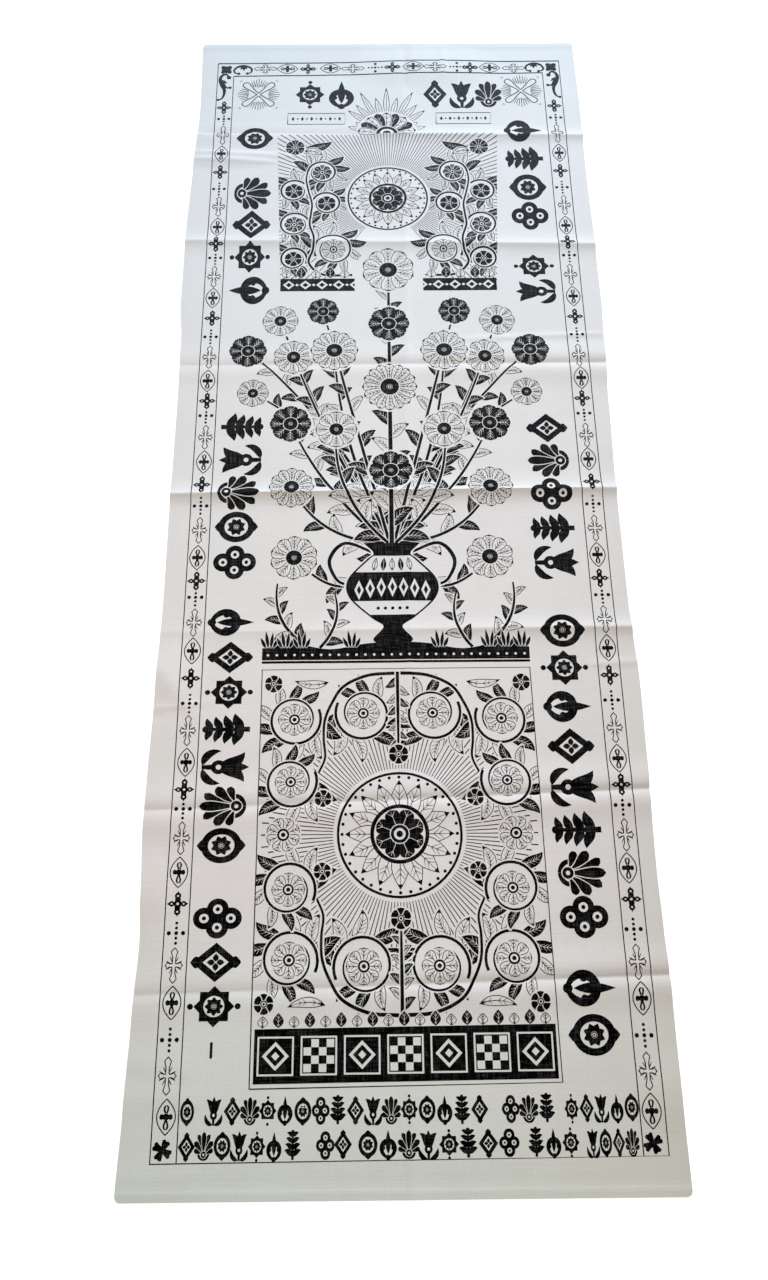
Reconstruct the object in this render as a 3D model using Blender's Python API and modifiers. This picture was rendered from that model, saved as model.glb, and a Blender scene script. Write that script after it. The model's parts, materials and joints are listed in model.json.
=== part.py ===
"""A burial shroud: one long printed cotton cloth, laid flat and face up.

The cloth has come out of its packet, where it was folded once along its length
and into eighths across it. It lies on a surface and still stands up along those
folds. Metres, +Z up. The foot end is at -Y and the head end at +Y, and the
origin is on the surface, under the middle of the cloth.
"""

from collections import namedtuple
from math import hypot, sqrt

import bmesh
import bpy

CLOTH_WIDTH = 0.650
CLOTH_LENGTH = 1.800
CLOTH_THICKNESS = 0.0015
CORNER_RADIUS = 0.006

# Cloth folded across its width. The place is measured from the foot end along the
# centre line, and the skew is how much further up the cloth the fold runs on the
# right than on the left. A height above zero is a ridge, and one below zero is a
# valley whose two sides stand up by that much. The half width is how far the fold
# lifts the cloth on each side.
Fold = namedtuple("Fold", "name place skew left_height right_height half_width")
FOLDS = (
    Fold("first_valley", 0.229, 0.018, -0.0010, -0.0024, 0.050),
    Fold("second_valley", 0.455, 0.023, -0.0016, -0.0027, 0.052),
    Fold("low_ridge", 0.690, 0.003, 0.0008, 0.0046, 0.055),
    Fold("middle_ridge", 0.904, 0.005, 0.0050, 0.0052, 0.058),
    Fold("third_valley", 1.125, 0.001, -0.0011, -0.0028, 0.052),
    Fold("high_ridge", 1.357, -0.012, 0.0039, 0.0047, 0.056),
    Fold("head_ridge", 1.587, -0.009, 0.0042, 0.0042, 0.052),
)

# The two long edges. Each place is measured from the foot end, and the other
# columns say how far the edge stands outside half the cloth's width there.
Edge = namedtuple("Edge", "place left_out right_out")
EDGES = (
    Edge(0.000, 0.0015, 0.0005),
    Edge(0.100, -0.0005, 0.0000),
    Edge(0.200, -0.0025, 0.0005),
    Edge(0.290, -0.0055, -0.0010),
    Edge(0.345, -0.0030, -0.0020),
    Edge(0.430, 0.0010, -0.0010),
    Edge(0.500, 0.0005, 0.0010),
    Edge(0.600, -0.0015, 0.0020),
    Edge(0.730, -0.0035, -0.0025),
    Edge(0.900, -0.0025, -0.0030),
    Edge(1.050, -0.0025, -0.0005),
    Edge(1.170, -0.0010, 0.0025),
    Edge(1.235, 0.0040, 0.0045),
    Edge(1.370, 0.0045, 0.0040),
    Edge(1.510, 0.0010, 0.0020),
    Edge(1.640, -0.0040, 0.0030),
    Edge(1.800, -0.0010, 0.0010),
)

# The crease of the lengthwise fold, off the centre line by these amounts.
CREASE_AT_FOOT = 0.010
CREASE_AT_HEAD = 0.030
CREASE_HEIGHT = 0.0012
CREASE_HALF_WIDTH = 0.035

# Soft low rises where the cloth doesn't lie close to the surface.
Swell = namedtuple("Swell", "name across place half_across half_along height")
SWELLS = (
    Swell("head_margin", 0.065, 1.745, 0.150, 0.060, 0.0042),
    Swell("left_wrinkle", -0.270, 1.536, 0.110, 0.024, 0.0026),
    Swell("left_edge", -0.310, 0.625, 0.055, 0.060, 0.0032),
    Swell("left_foot_edge", -0.320, 0.345, 0.060, 0.060, 0.0028),
    Swell("right_foot_edge", 0.310, 0.110, 0.060, 0.055, 0.0020),
)

# The two ends of the cloth, which are cut square.
End = namedtuple("End", "place skew")
ENDS = (End(0.0, 0.0), End(CLOTH_LENGTH, 0.0))

# Where the grid has its rows and columns. Fold steps are shares of a fold's half
# width, and column shares run from the crease to each long edge.
FOLD_STEPS = (-1.0, -0.56, -0.27, -0.09, 0.0, 0.09, 0.27, 0.56, 1.0)
CORNER_STEPS = (0.0, 0.3, 1.0)
ROWS_BETWEEN_FOLDS = 2
COLUMN_SHARES = (0.03, 0.08, 0.16, 0.30, 0.45, 0.60, 0.74, 0.86, 0.95, 1.0)
# A crest or trough is this share of the half width round, so it isn't a knife edge.
CREST_ROUND = 0.03
# How fast a ridge falls away from its crest. A valley's side is highest a quarter of
# the way out, and the gain makes it one there.
RIDGE_FALL = 5.0
VALLEY_FALL = 3
VALLEY_GAIN = 256.0 / 27.0

COTTON_COLOUR = (0.80, 0.80, 0.78, 1.0)
COTTON_ROUGHNESS = 0.85


def clear_scene():
    for obj in list(bpy.data.objects):
        bpy.data.objects.remove(obj, do_unlink=True)


def blend(low, high, share):
    return low + (high - low) * share


def from_table(rows, column, place):
    """The column's value at this place, on a smooth curve between the rows."""
    for before, after in zip(rows, rows[1:]):
        if place <= after.place:
            share = (place - before.place) / (after.place - before.place)
            share = share * share * (3.0 - 2.0 * share)
            return blend(getattr(before, column), getattr(after, column), share)
    return getattr(rows[-1], column)


def corner_inset(place):
    """How far a rounded corner draws in the long edges at this place."""
    from_end = min(place, CLOTH_LENGTH - place)
    if from_end >= CORNER_RADIUS:
        return 0.0
    return CORNER_RADIUS - sqrt(CORNER_RADIUS**2 - (CORNER_RADIUS - from_end) ** 2)


def long_edges(place):
    """X of the left and the right edge at this place."""
    half = CLOTH_WIDTH / 2 - corner_inset(place)
    return (
        -half - from_table(EDGES, "left_out", place),
        half + from_table(EDGES, "right_out", place),
    )


def crease_line(place):
    return blend(CREASE_AT_FOOT, CREASE_AT_HEAD, place / CLOTH_LENGTH)


def fold_line(fold, x):
    """Place of the fold's crest or trough at this X."""
    return fold.place + fold.skew * x / CLOTH_WIDTH


def rounded(share):
    """The share with its corner at zero rounded off."""
    return hypot(share, CREST_ROUND) - CREST_ROUND


def fold_lift(fold, x, place):
    share = rounded(abs(place - fold_line(fold, x)) / fold.half_width)
    if share >= 1.0:
        return 0.0
    height = blend(fold.left_height, fold.right_height, x / CLOTH_WIDTH + 0.5)
    if height > 0:
        return height * (1.0 - share) ** RIDGE_FALL
    return -height * VALLEY_GAIN * share * (1.0 - share) ** VALLEY_FALL


def crease_lift(x, place):
    share = rounded(abs(x - crease_line(place)) / CREASE_HALF_WIDTH)
    return CREASE_HEIGHT * max(0.0, 1.0 - share) ** RIDGE_FALL


def swell_lift(swell, x, place):
    reach = hypot((x - swell.across) / swell.half_across, (place - swell.place) / swell.half_along)
    return swell.height * max(0.0, 1.0 - reach * reach) ** 2


def lift(x, place):
    """Height of the cloth's underside over the surface. The folds and the swells add up."""
    height = crease_lift(x, place)
    height += sum(fold_lift(fold, x, place) for fold in FOLDS)
    height += sum(swell_lift(swell, x, place) for swell in SWELLS)
    return height


def row_places():
    """The rows' places on the centre line, from the foot end to the head end."""
    corners = [step * CORNER_RADIUS for step in CORNER_STEPS]
    places = list(corners)
    start = corners[-1]
    for fold in FOLDS:
        places += rows_between(start, fold.place - fold.half_width)
        places += [fold.place + step * fold.half_width for step in FOLD_STEPS]
        start = fold.place + fold.half_width
    places += rows_between(start, CLOTH_LENGTH - CORNER_RADIUS)
    return places + [CLOTH_LENGTH - inset for inset in reversed(corners)]


def rows_between(start, end):
    gap = (end - start) / (ROWS_BETWEEN_FOLDS + 1)
    return [start + gap * (i + 1) for i in range(ROWS_BETWEEN_FOLDS)]


def row_skew(place):
    """A row's skew: a fold's own at the fold, and none at the two ends."""
    return from_table([ENDS[0], *FOLDS, ENDS[1]], "skew", place)


def column_point(row_place, share):
    """X and place of the grid point on this row, at a share of -1 to 1 across the cloth."""
    left, right = long_edges(row_place)
    crease = crease_line(row_place)
    x = blend(crease, right if share > 0 else left, abs(share))
    return x, row_place + row_skew(row_place) * x / CLOTH_WIDTH


def cotton_material():
    material = bpy.data.materials.new("white_cotton")
    material.use_nodes = True
    shader = material.node_tree.nodes["Principled BSDF"]
    shader.inputs["Base Color"].default_value = COTTON_COLOUR
    shader.inputs["Roughness"].default_value = COTTON_ROUGHNESS
    shader.inputs["Metallic"].default_value = 0.0
    return material


def cloth_mesh():
    """The underside of the cloth: a grid whose rows follow the folds."""
    rows = row_places()
    columns = [-share for share in reversed(COLUMN_SHARES)] + [0.0, *COLUMN_SHARES]
    sheet = bmesh.new()
    bmesh.ops.create_grid(
        sheet,
        x_segments=len(columns) - 1,
        y_segments=len(rows) - 1,
        size=1.0,
    )
    for vert in sheet.verts:
        column = round((vert.co.x + 1.0) / 2.0 * (len(columns) - 1))
        row = round((vert.co.y + 1.0) / 2.0 * (len(rows) - 1))
        x, place = column_point(rows[row], columns[column])
        vert.co = (x, place - CLOTH_LENGTH / 2, lift(x, place))
    mesh = bpy.data.meshes.new("shroud_cloth")
    sheet.to_mesh(mesh)
    sheet.free()
    return mesh


def shroud_cloth(collection):
    mesh = cloth_mesh()
    mesh.materials.append(cotton_material())
    cloth = bpy.data.objects.new("shroud_cloth", mesh)
    collection.objects.link(cloth)
    thickness = cloth.modifiers.new("thickness", "SOLIDIFY")
    thickness.thickness = CLOTH_THICKNESS
    thickness.offset = 1.0
    mesh.shade_smooth()
    return cloth


def main():
    clear_scene()
    collection = bpy.data.collections.new("burial_shroud")
    bpy.context.scene.collection.children.link(collection)
    shroud_cloth(collection)


main()
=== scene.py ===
"""The burial shroud dressed for rendering: its cotton, its folds and its black print.

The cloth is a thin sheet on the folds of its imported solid. The print is drawn flat,
in millimetres, cut along the rows and columns of the sheet's grid, and laid on the folds.
"""

import cmath
import json
import math
from collections import namedtuple

import bpy
import numpy as np
from bpy.props import FloatProperty, FloatVectorProperty, IntProperty, PointerProperty
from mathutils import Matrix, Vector
from mathutils.geometry import delaunay_2d_cdt

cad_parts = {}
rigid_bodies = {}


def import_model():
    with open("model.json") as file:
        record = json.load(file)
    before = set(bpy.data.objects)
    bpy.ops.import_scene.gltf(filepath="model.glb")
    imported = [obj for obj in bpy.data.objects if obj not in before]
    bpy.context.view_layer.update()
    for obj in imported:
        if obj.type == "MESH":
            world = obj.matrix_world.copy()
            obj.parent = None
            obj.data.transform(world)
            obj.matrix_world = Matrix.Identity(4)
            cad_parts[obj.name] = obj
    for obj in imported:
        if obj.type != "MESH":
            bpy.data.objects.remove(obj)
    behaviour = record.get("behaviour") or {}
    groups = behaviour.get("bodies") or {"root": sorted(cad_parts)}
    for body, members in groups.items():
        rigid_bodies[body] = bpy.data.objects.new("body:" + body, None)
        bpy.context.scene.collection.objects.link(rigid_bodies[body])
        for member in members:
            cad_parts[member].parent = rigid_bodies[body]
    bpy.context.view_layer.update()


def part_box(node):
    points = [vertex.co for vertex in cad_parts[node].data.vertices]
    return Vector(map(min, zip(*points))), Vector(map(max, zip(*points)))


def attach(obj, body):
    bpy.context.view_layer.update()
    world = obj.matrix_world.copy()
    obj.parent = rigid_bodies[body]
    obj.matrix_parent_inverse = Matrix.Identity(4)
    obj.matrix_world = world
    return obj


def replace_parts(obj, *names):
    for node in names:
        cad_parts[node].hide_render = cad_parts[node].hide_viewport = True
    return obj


bl_info = {
    "name": "Burial Shroud",
    "version": (1, 0, 0),
    "blender": (4, 5, 0),
    "location": "View3D > Sidebar > Shroud",
    "description": "Makes a printed cotton burial shroud, laid flat with its packing folds",
    "category": "Object",
}

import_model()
CLOTH_LOW, CLOTH_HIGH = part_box("shroud_cloth")

# The cloth's own sizes in metres, as its solid has them. Places run up the cloth from
# the foot end, and heights are over the surface that it lies on.
CLOTH_WIDTH = 0.650
CLOTH_LENGTH = round(CLOTH_HIGH[1] - CLOTH_LOW[1], 3)
CORNER_RADIUS = 0.006

# The folds across the cloth, with a height at each long edge. A valley's heights are
# below zero: its floor lies low, and its two banks stand up by that much.
Fold = namedtuple("Fold", "name place skew left_height right_height half_width")
FOLDS = (
    Fold("first_valley", 0.229, 0.018, -0.0010, -0.0024, 0.050),
    Fold("second_valley", 0.455, 0.023, -0.0016, -0.0027, 0.052),
    Fold("low_ridge", 0.690, 0.003, 0.0008, 0.0046, 0.055),
    Fold("middle_ridge", 0.904, 0.005, 0.0050, 0.0052, 0.058),
    Fold("third_valley", 1.125, 0.001, -0.0011, -0.0028, 0.052),
    Fold("high_ridge", 1.357, -0.012, 0.0039, 0.0047, 0.056),
    Fold("head_ridge", 1.587, -0.009, 0.0042, 0.0042, 0.052),
)
# The two long edges, and how far each stands outside half the cloth's width.
Edge = namedtuple("Edge", "place left_out right_out")
EDGES = (
    Edge(0.000, 0.0015, 0.0005),
    Edge(0.100, -0.0005, 0.0000),
    Edge(0.200, -0.0025, 0.0005),
    Edge(0.290, -0.0055, -0.0010),
    Edge(0.345, -0.0030, -0.0020),
    Edge(0.430, 0.0010, -0.0010),
    Edge(0.500, 0.0005, 0.0010),
    Edge(0.600, -0.0015, 0.0020),
    Edge(0.730, -0.0035, -0.0025),
    Edge(0.900, -0.0025, -0.0030),
    Edge(1.050, -0.0025, -0.0005),
    Edge(1.170, -0.0010, 0.0025),
    Edge(1.235, 0.0040, 0.0045),
    Edge(1.370, 0.0045, 0.0040),
    Edge(1.510, 0.0010, 0.0020),
    Edge(1.640, -0.0040, 0.0030),
    Edge(1.800, -0.0010, 0.0010),
)
# The lengthwise crease: its X at the foot end and at the head end, and its size.
CREASE_AT_FOOT = 0.010
CREASE_AT_HEAD = 0.030
CREASE_HEIGHT = 0.0012
CREASE_HALF_WIDTH = 0.035
# Round places where the cloth doesn't lie close.
Swell = namedtuple("Swell", "name across place half_across half_along height")
SWELLS = (
    Swell("head_margin", 0.065, 1.745, 0.150, 0.060, 0.0042),
    Swell("left_wrinkle", -0.270, 1.536, 0.110, 0.024, 0.0026),
    Swell("left_edge", -0.310, 0.625, 0.055, 0.060, 0.0032),
    Swell("left_foot_edge", -0.320, 0.345, 0.060, 0.060, 0.0028),
    Swell("right_foot_edge", 0.310, 0.110, 0.060, 0.055, 0.0020),
)
# How much of a fold's half width its crest is rounded by, how fast ridges and banks fall
# off, and the gain that brings a bank to its full height.
CREST_ROUND = 0.02
RIDGE_FALL = 5.0
VALLEY_FALL = 3
VALLEY_GAIN = 256.0 / 27.0

# Fine wrinkles that only the sheet has: soft low ridges, or troughs where the height is
# below zero, from one point to another.
Wrinkle = namedtuple("Wrinkle", "name start end height half_width")
WRINKLES = (
    Wrinkle("head_margin_crease", (0.097, 1.715), (0.094, 1.800), 0.0012, 0.009),
    Wrinkle("head_middle_crease", (0.029, 1.690), (0.030, 1.800), -0.0020, 0.014),
    Wrinkle("head_left_line", (-0.325, 1.690), (-0.180, 1.712), 0.0006, 0.016),
    Wrinkle("left_wrinkle_high", (-0.332, 1.553), (-0.150, 1.541), 0.0021, 0.0075),
    Wrinkle("left_wrinkle_low", (-0.332, 1.538), (-0.190, 1.528), 0.0014, 0.008),
    Wrinkle("head_ridge_dip", (-0.340, 1.5935), (-0.020, 1.5880), -0.0040, 0.018),
    Wrinkle("middle_ridge_pinch", (-0.328, 0.9015), (0.328, 0.9065), 0.0011, 0.006),
    Wrinkle("upper_right_line", (0.105, 1.170), (0.332, 1.179), 0.0016, 0.009),
    Wrinkle("right_edge_line", (0.332, 0.985), (0.262, 0.962), 0.0006, 0.014),
    Wrinkle("lower_right_line", (0.262, 0.638), (0.332, 0.641), 0.0014, 0.009),
    Wrinkle("left_edge_line", (-0.332, 0.652), (-0.268, 0.566), 0.0013, 0.015),
    Wrinkle("left_low_line", (-0.332, 0.578), (-0.250, 0.588), 0.0009, 0.008),
    Wrinkle("foot_left_line", (-0.332, 0.150), (-0.215, 0.128), 0.0006, 0.018),
    Wrinkle("foot_left_rise", (-0.345, 0.104), (-0.225, 0.108), 0.0009, 0.024),
    Wrinkle("foot_left_end", (-0.345, 0.020), (-0.230, 0.024), 0.0010, 0.036),
)
# A wrinkle has this share of its height at its ends, and grows by this much for each
# share of its length.
WRINKLE_END = 0.35
WRINKLE_GROWTH = 6.0
# The foot and head hems are two layers thick, so they stand a little higher.
HEM_WIDTH = 0.011
HEM_STEP = 0.0003
HEM_SLOPE = 0.0012
# Waves of the gentle swell all over: radians for each metre across and along, and a phase.
RIPPLE_WAVES = (
    (31.0, 9.0, 0.4), (-17.0, 21.0, 1.9), (9.0, 47.0, 3.1),
    (52.0, -14.0, 5.0), (-38.0, 61.0, 0.9), (71.0, 33.0, 2.2),
)
# A wave in their phases: its size in radians, and radians for each metre both ways.
RIPPLE_WOBBLE = (0.7, 13.0, -7.0)

# The sheet's grid. Its rows are at these places from each end, at these shares of a fold's
# half width, and at the pitch between. Its columns are closer together near the crease.
END_ROWS = (0.0, 0.002, CORNER_RADIUS, HEM_WIDTH - 0.001, HEM_WIDTH, HEM_WIDTH + 0.001)
FOLD_STEPS = (0.0, 0.03, 0.07, 0.12, 0.19, 0.28, 0.40, 0.54, 0.70, 0.85, 1.0)
ROW_PITCH = 0.0095
COLUMNS_A_SIDE = 42
COLUMN_EASE = 1.12
# Stretches where the fine wrinkles need rows this close.
FINE_PITCH = 0.0035
FINE_STRETCHES = ((0.556, 0.655), (1.160, 1.192), (1.500, 1.610))

# The print is drawn in millimetres.
MM = 0.001


def from_table(rows, column, place):
    """The column's value at these places, on a smooth curve between the rows."""
    places = [row.place for row in rows]
    values = np.array([getattr(row, column) for row in rows])
    place = np.clip(place, places[0], places[-1])
    after = np.clip(np.searchsorted(places, place), 1, len(rows) - 1)
    start, end = np.take(places, after - 1), np.take(places, after)
    share = (place - start) / (end - start)
    share = share * share * (3.0 - 2.0 * share)
    return values[after - 1] + (values[after] - values[after - 1]) * share


def long_edges(place):
    """X of the left and the right edge at these places, drawn in at the rounded corners."""
    from_end = np.clip(np.minimum(place, CLOTH_LENGTH - place), 0.0, CORNER_RADIUS)
    inset = CORNER_RADIUS - np.sqrt(CORNER_RADIUS**2 - (CORNER_RADIUS - from_end) ** 2)
    half = CLOTH_WIDTH / 2 - inset
    left = -half - from_table(EDGES, "left_out", place)
    return left, half + from_table(EDGES, "right_out", place)


def crease_line(place):
    return CREASE_AT_FOOT + (CREASE_AT_HEAD - CREASE_AT_FOOT) * place / CLOTH_LENGTH


def row_skew(place):
    """How much further up the cloth a row runs on the right: a fold's own skew at the fold."""
    end = Fold("end", 0.0, 0.0, 0.0, 0.0, 0.0)
    return from_table([end, *FOLDS, end._replace(place=CLOTH_LENGTH)], "skew", place)


def rounded(share):
    """The share with its corner at zero rounded off."""
    return np.hypot(share, CREST_ROUND) - CREST_ROUND


def fold_lift(fold, x, place):
    line = fold.place + fold.skew * x / CLOTH_WIDTH
    share = np.minimum(rounded(abs(place - line) / fold.half_width), 1.0)
    rise = fold.right_height - fold.left_height
    height = fold.left_height + rise * (x / CLOTH_WIDTH + 0.5)
    if fold.left_height > 0:
        return height * (1.0 - share) ** RIDGE_FALL
    return -height * VALLEY_GAIN * share * (1.0 - share) ** VALLEY_FALL


def wrinkle_lift(wrinkle, x, place):
    """A soft ridge along a line, that fades towards its two ends."""
    start, end = complex(*wrinkle.start), complex(*wrinkle.end)
    along = (end - start) / abs(end - start)
    here = (x + 1j * place - start) * np.conj(along)
    share = np.clip(here.real / abs(end - start), 0.0, 1.0)
    off = abs(here - share * abs(end - start)) / wrinkle.half_width
    fade = np.minimum(1.0, WRINKLE_GROWTH * np.minimum(share, 1.0 - share) + WRINKLE_END)
    return wrinkle.height * fade * np.maximum(0.0, 1.0 - rounded(off)) ** 2


def ripple(x, place):
    """A gentle uneven swell all over, from 0 to 1."""
    size, across, along = RIPPLE_WOBBLE
    wobble = size * np.sin(across * x + along * place)
    total = sum(np.sin(a * x + b * place + c + wobble) for a, b, c in RIPPLE_WAVES)
    return 0.5 + 0.5 * total / len(RIPPLE_WAVES)


def hem_lift(place):
    from_end = np.minimum(place, CLOTH_LENGTH - place)
    return HEM_STEP * np.clip((HEM_WIDTH - from_end) / HEM_SLOPE + 0.5, 0.0, 1.0)


def lift(x, place, ripple_height):
    """Height of the sheet's underside over the surface."""
    share = np.minimum(rounded(abs(x - crease_line(place)) / CREASE_HALF_WIDTH), 1.0)
    height = CREASE_HEIGHT * (1.0 - share) ** RIDGE_FALL
    height = height + sum(fold_lift(fold, x, place) for fold in FOLDS)
    for swell in SWELLS:
        reach = np.hypot((x - swell.across) / swell.half_across, (place - swell.place) / swell.half_along)
        height = height + swell.height * np.maximum(0.0, 1.0 - reach**2) ** 2
    height = height + sum(wrinkle_lift(wrinkle, x, place) for wrinkle in WRINKLES)
    return height + ripple_height * ripple(x, place) + hem_lift(place)


def rows_between(start, end):
    """Even places between the two, without them."""
    return list(np.linspace(start, end, max(2, round((end - start) / ROW_PITCH)) + 1)[1:-1])


def row_places():
    """The rows' places on the centre line, close together at the folds, wrinkles and hems."""
    places = list(END_ROWS)
    for fold in FOLDS:
        places += rows_between(places[-1], fold.place - fold.half_width)
        places += [fold.place - step * fold.half_width for step in reversed(FOLD_STEPS)]
        places += [fold.place + step * fold.half_width for step in FOLD_STEPS[1:]]
    places += rows_between(places[-1], CLOTH_LENGTH - END_ROWS[-1])
    places += [CLOTH_LENGTH - inset for inset in reversed(END_ROWS)]
    rows = places[:1]
    for start, end in zip(places, places[1:]):
        fine = any(low < (start + end) / 2 < high for low, high in FINE_STRETCHES)
        parts = max(1, round((end - start) / FINE_PITCH)) if fine else 1
        rows += list(np.linspace(start, end, parts + 1)[1:])
    return np.array(rows)


def column_shares():
    side = np.linspace(0, 1, COLUMNS_A_SIDE + 1)[1:] ** COLUMN_EASE
    return np.concatenate([-side[::-1], [0.0], side])


# Rounds that find the row which a place lies on, since rows run askew at the folds.
ROW_ROUNDS = 3


class Surface:
    """The sheet's grid of points, and the height of its underside anywhere on it."""

    def __init__(self, ripple_height):
        self.rows, self.shares = row_places(), column_shares()
        row, share = np.meshgrid(self.rows, self.shares, indexing="ij")
        self.x = self.column_x(share, row)
        self.place = row + row_skew(row) * self.x / CLOTH_WIDTH
        self.height = lift(self.x, self.place, ripple_height)

    @staticmethod
    def column_x(share, row):
        """X at this share of the way from the crease to a long edge."""
        left, right = long_edges(row)
        crease = crease_line(row)
        return crease + np.where(share > 0, right - crease, crease - left) * share

    def height_at(self, x, place):
        """The grid's own height here, so that what lies on the sheet meets its faces."""
        row = place
        for _ in range(ROW_ROUNDS):
            row = place - row_skew(row) * x / CLOTH_WIDTH
        left, right = long_edges(row)
        crease = crease_line(row)
        share = np.where(x > crease, (x - crease) / (right - crease), (x - crease) / (crease - left))
        i, low = self.cell(self.rows, row)
        j, near = self.cell(self.shares, share)
        first = self.height[i, j] * (1 - near) + self.height[i, j + 1] * near
        second = self.height[i + 1, j] * (1 - near) + self.height[i + 1, j + 1] * near
        return first * (1 - low) + second * low

    @staticmethod
    def cell(steps, value):
        value = np.clip(value, steps[0], steps[-1])
        i = np.clip(np.searchsorted(steps, value) - 1, 0, len(steps) - 2)
        return i, (value - steps[i]) / (steps[i + 1] - steps[i])


# A mark is one flat shape of the print. Marks are in painter's order: a bare mark
# takes away the ink of those before it. Points are complex numbers in millimetres.
Mark = namedtuple("Mark", "outline ink")
INK, BARE = True, False
# A piece of a line is one shape if all its corners turn one way, but for this much.
TURN_SLACK = 1e-6

# Widths along a leaf and a round-ended petal, as shares of the widest.
LEAF_SHAPE = np.array((0.0, 0.55, 0.88, 1.0, 0.92, 0.70, 0.38, 0.0))
PETAL_SHAPE = np.array((0.20, 0.30, 0.42, 0.54, 0.67, 0.79, 0.89, 0.97, 1.0, 0.98, 0.90, 0.70, 0.0))
# A leaf's veins: their angle, the stretch of the leaf that has them, and their reach and
# their line as shares of the leaf's width.
VEIN_ANGLE = 40.0
VEIN_STRETCH = (0.14, 0.74)
VEIN_REACH = 0.31
VEIN_LINE = 0.045
THINNEST_LINE = 0.5
# A flower's petals fill this share of the room between them, and start inside its core,
# which is rings from the outermost in.
PETAL_FULLNESS = 0.80
PETAL_ROOT = 0.55
CORE_RINGS = ((1.12, BARE), (1.0, INK), (0.66, BARE), (0.36, INK))
# Leaves on a stem: their angle to it, and their width and bend as shares of their length.
LEAF_ANGLE = 46.0
LEAF_WIDTH = 0.46
LEAF_BEND = 0.15
# Where the first leaf stands on its stem and how much smaller leaves are at the stem's end,
# as shares, and the stem's widths along its length.
FIRST_LEAF = 0.05
LEAF_SHRINK = 0.40
STEM_TAPER = np.array((1.0, 0.9, 0.55))


def toward(degrees):
    """A step of one millimetre in this direction. 0 is across to the right, 90 up the cloth."""
    return cmath.exp(1j * math.radians(degrees))


def curve(points, steps=6):
    """A smooth line through the points."""
    p = np.array(points, complex)
    p = np.concatenate([[2 * p[0] - p[1]], p, [2 * p[-1] - p[-2]]])
    t = np.arange(steps) / steps
    parts = []
    for a, b, c, d in zip(p, p[1:], p[2:], p[3:]):
        bend = (2 * a - 5 * b + 4 * c - d) * t**2 + (3 * b - a - 3 * c + d) * t**3
        parts.append(b + ((c - a) * t + bend) / 2)
    return np.append(np.concatenate(parts), p[-2])


def bow(start, end, bend, steps=8):
    """A line from start to end that bows out to its left by this share of its length."""
    t = np.linspace(0, 1, steps + 1)
    return start + (end - start) * (t + 4j * bend * t * (1 - t))


def tendril(start, heading, length, curl, ease=1.0, steps=26):
    """A line that sets out on the heading and turns by curl degrees, later as ease grows."""
    facing = heading + curl * np.linspace(0, 1, steps + 1) ** ease
    strides = length / steps * np.exp(1j * np.radians((facing[1:] + facing[:-1]) / 2))
    return start + np.concatenate([[0], np.cumsum(strides)])


def headings(path):
    steps = np.gradient(path)
    return steps / abs(steps)


def spread(widths, path):
    """The widths, given at even shares of the path, at each of its points."""
    run = np.concatenate([[0], np.cumsum(abs(np.diff(path)))])
    widths = np.atleast_1d(widths)
    return np.interp(run / run[-1], np.linspace(0, 1, len(widths)), widths)


def fill(points, ink=INK):
    return [Mark(np.array(points, complex), ink)]


def stroke(path, widths, ink=INK):
    """A line with a width, as a row of pieces, so it may cross itself."""
    path = np.asarray(path, complex)
    side = 1j * headings(path) * spread(widths, path) / 2
    left, right = path + side, path - side
    marks = []
    for i in range(len(path) - 1):
        corners = np.array([right[i], right[i + 1], left[i + 1], left[i]])
        turns = (np.conj(np.roll(corners, 1) - corners) * (np.roll(corners, -1) - corners)).imag
        if np.all(turns < TURN_SLACK):
            marks.append(Mark(corners, ink))
        else:
            marks += [Mark(corners[[0, 1, 2]], ink), Mark(corners[[0, 2, 3]], ink)]
    return marks


def loop(points, width):
    """A closed inked line with a width, and a dot where its ends meet."""
    points = np.asarray(points, complex)
    dot = points[0] + width / 2 * np.array([toward(a) for a in range(0, 360, 60)])
    return stroke(np.append(points, points[:1]), width) + fill(dot)


def disc(at, radius, ink=INK, sides=14):
    return fill(at + radius * np.exp(2j * np.pi * np.arange(sides) / sides), ink)


def half_round(at, radius, ink=INK):
    return fill(at + radius * np.exp(1j * np.radians(np.linspace(0, 180, 17))), ink)


def ring(at, radius, width, sides):
    return disc(at, radius, INK, sides) + disc(at, radius - width, BARE, sides)


def lozenge(at, half_wide, half_high, ink=INK):
    return fill([at + half_wide, at + 1j * half_high, at - half_wide, at - 1j * half_high], ink)


def placed(marks, at=0, angle=0.0, flip=False):
    """The marks first turned over sideways where flip is set, then turned and moved."""
    spin = toward(angle)
    return [Mark((-np.conj(m.outline) if flip else m.outline) * spin + at, m.ink) for m in marks]


def widened(marks, across):
    return [Mark(m.outline.real * across + 1j * m.outline.imag, m.ink) for m in marks]


def around(marks, count):
    """Copies of the marks, turned evenly about the zero point."""
    return [m for n in range(count) for m in placed(marks, angle=360.0 * n / count)]


def mirrored(marks):
    return marks + placed(marks, flip=True)


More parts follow.
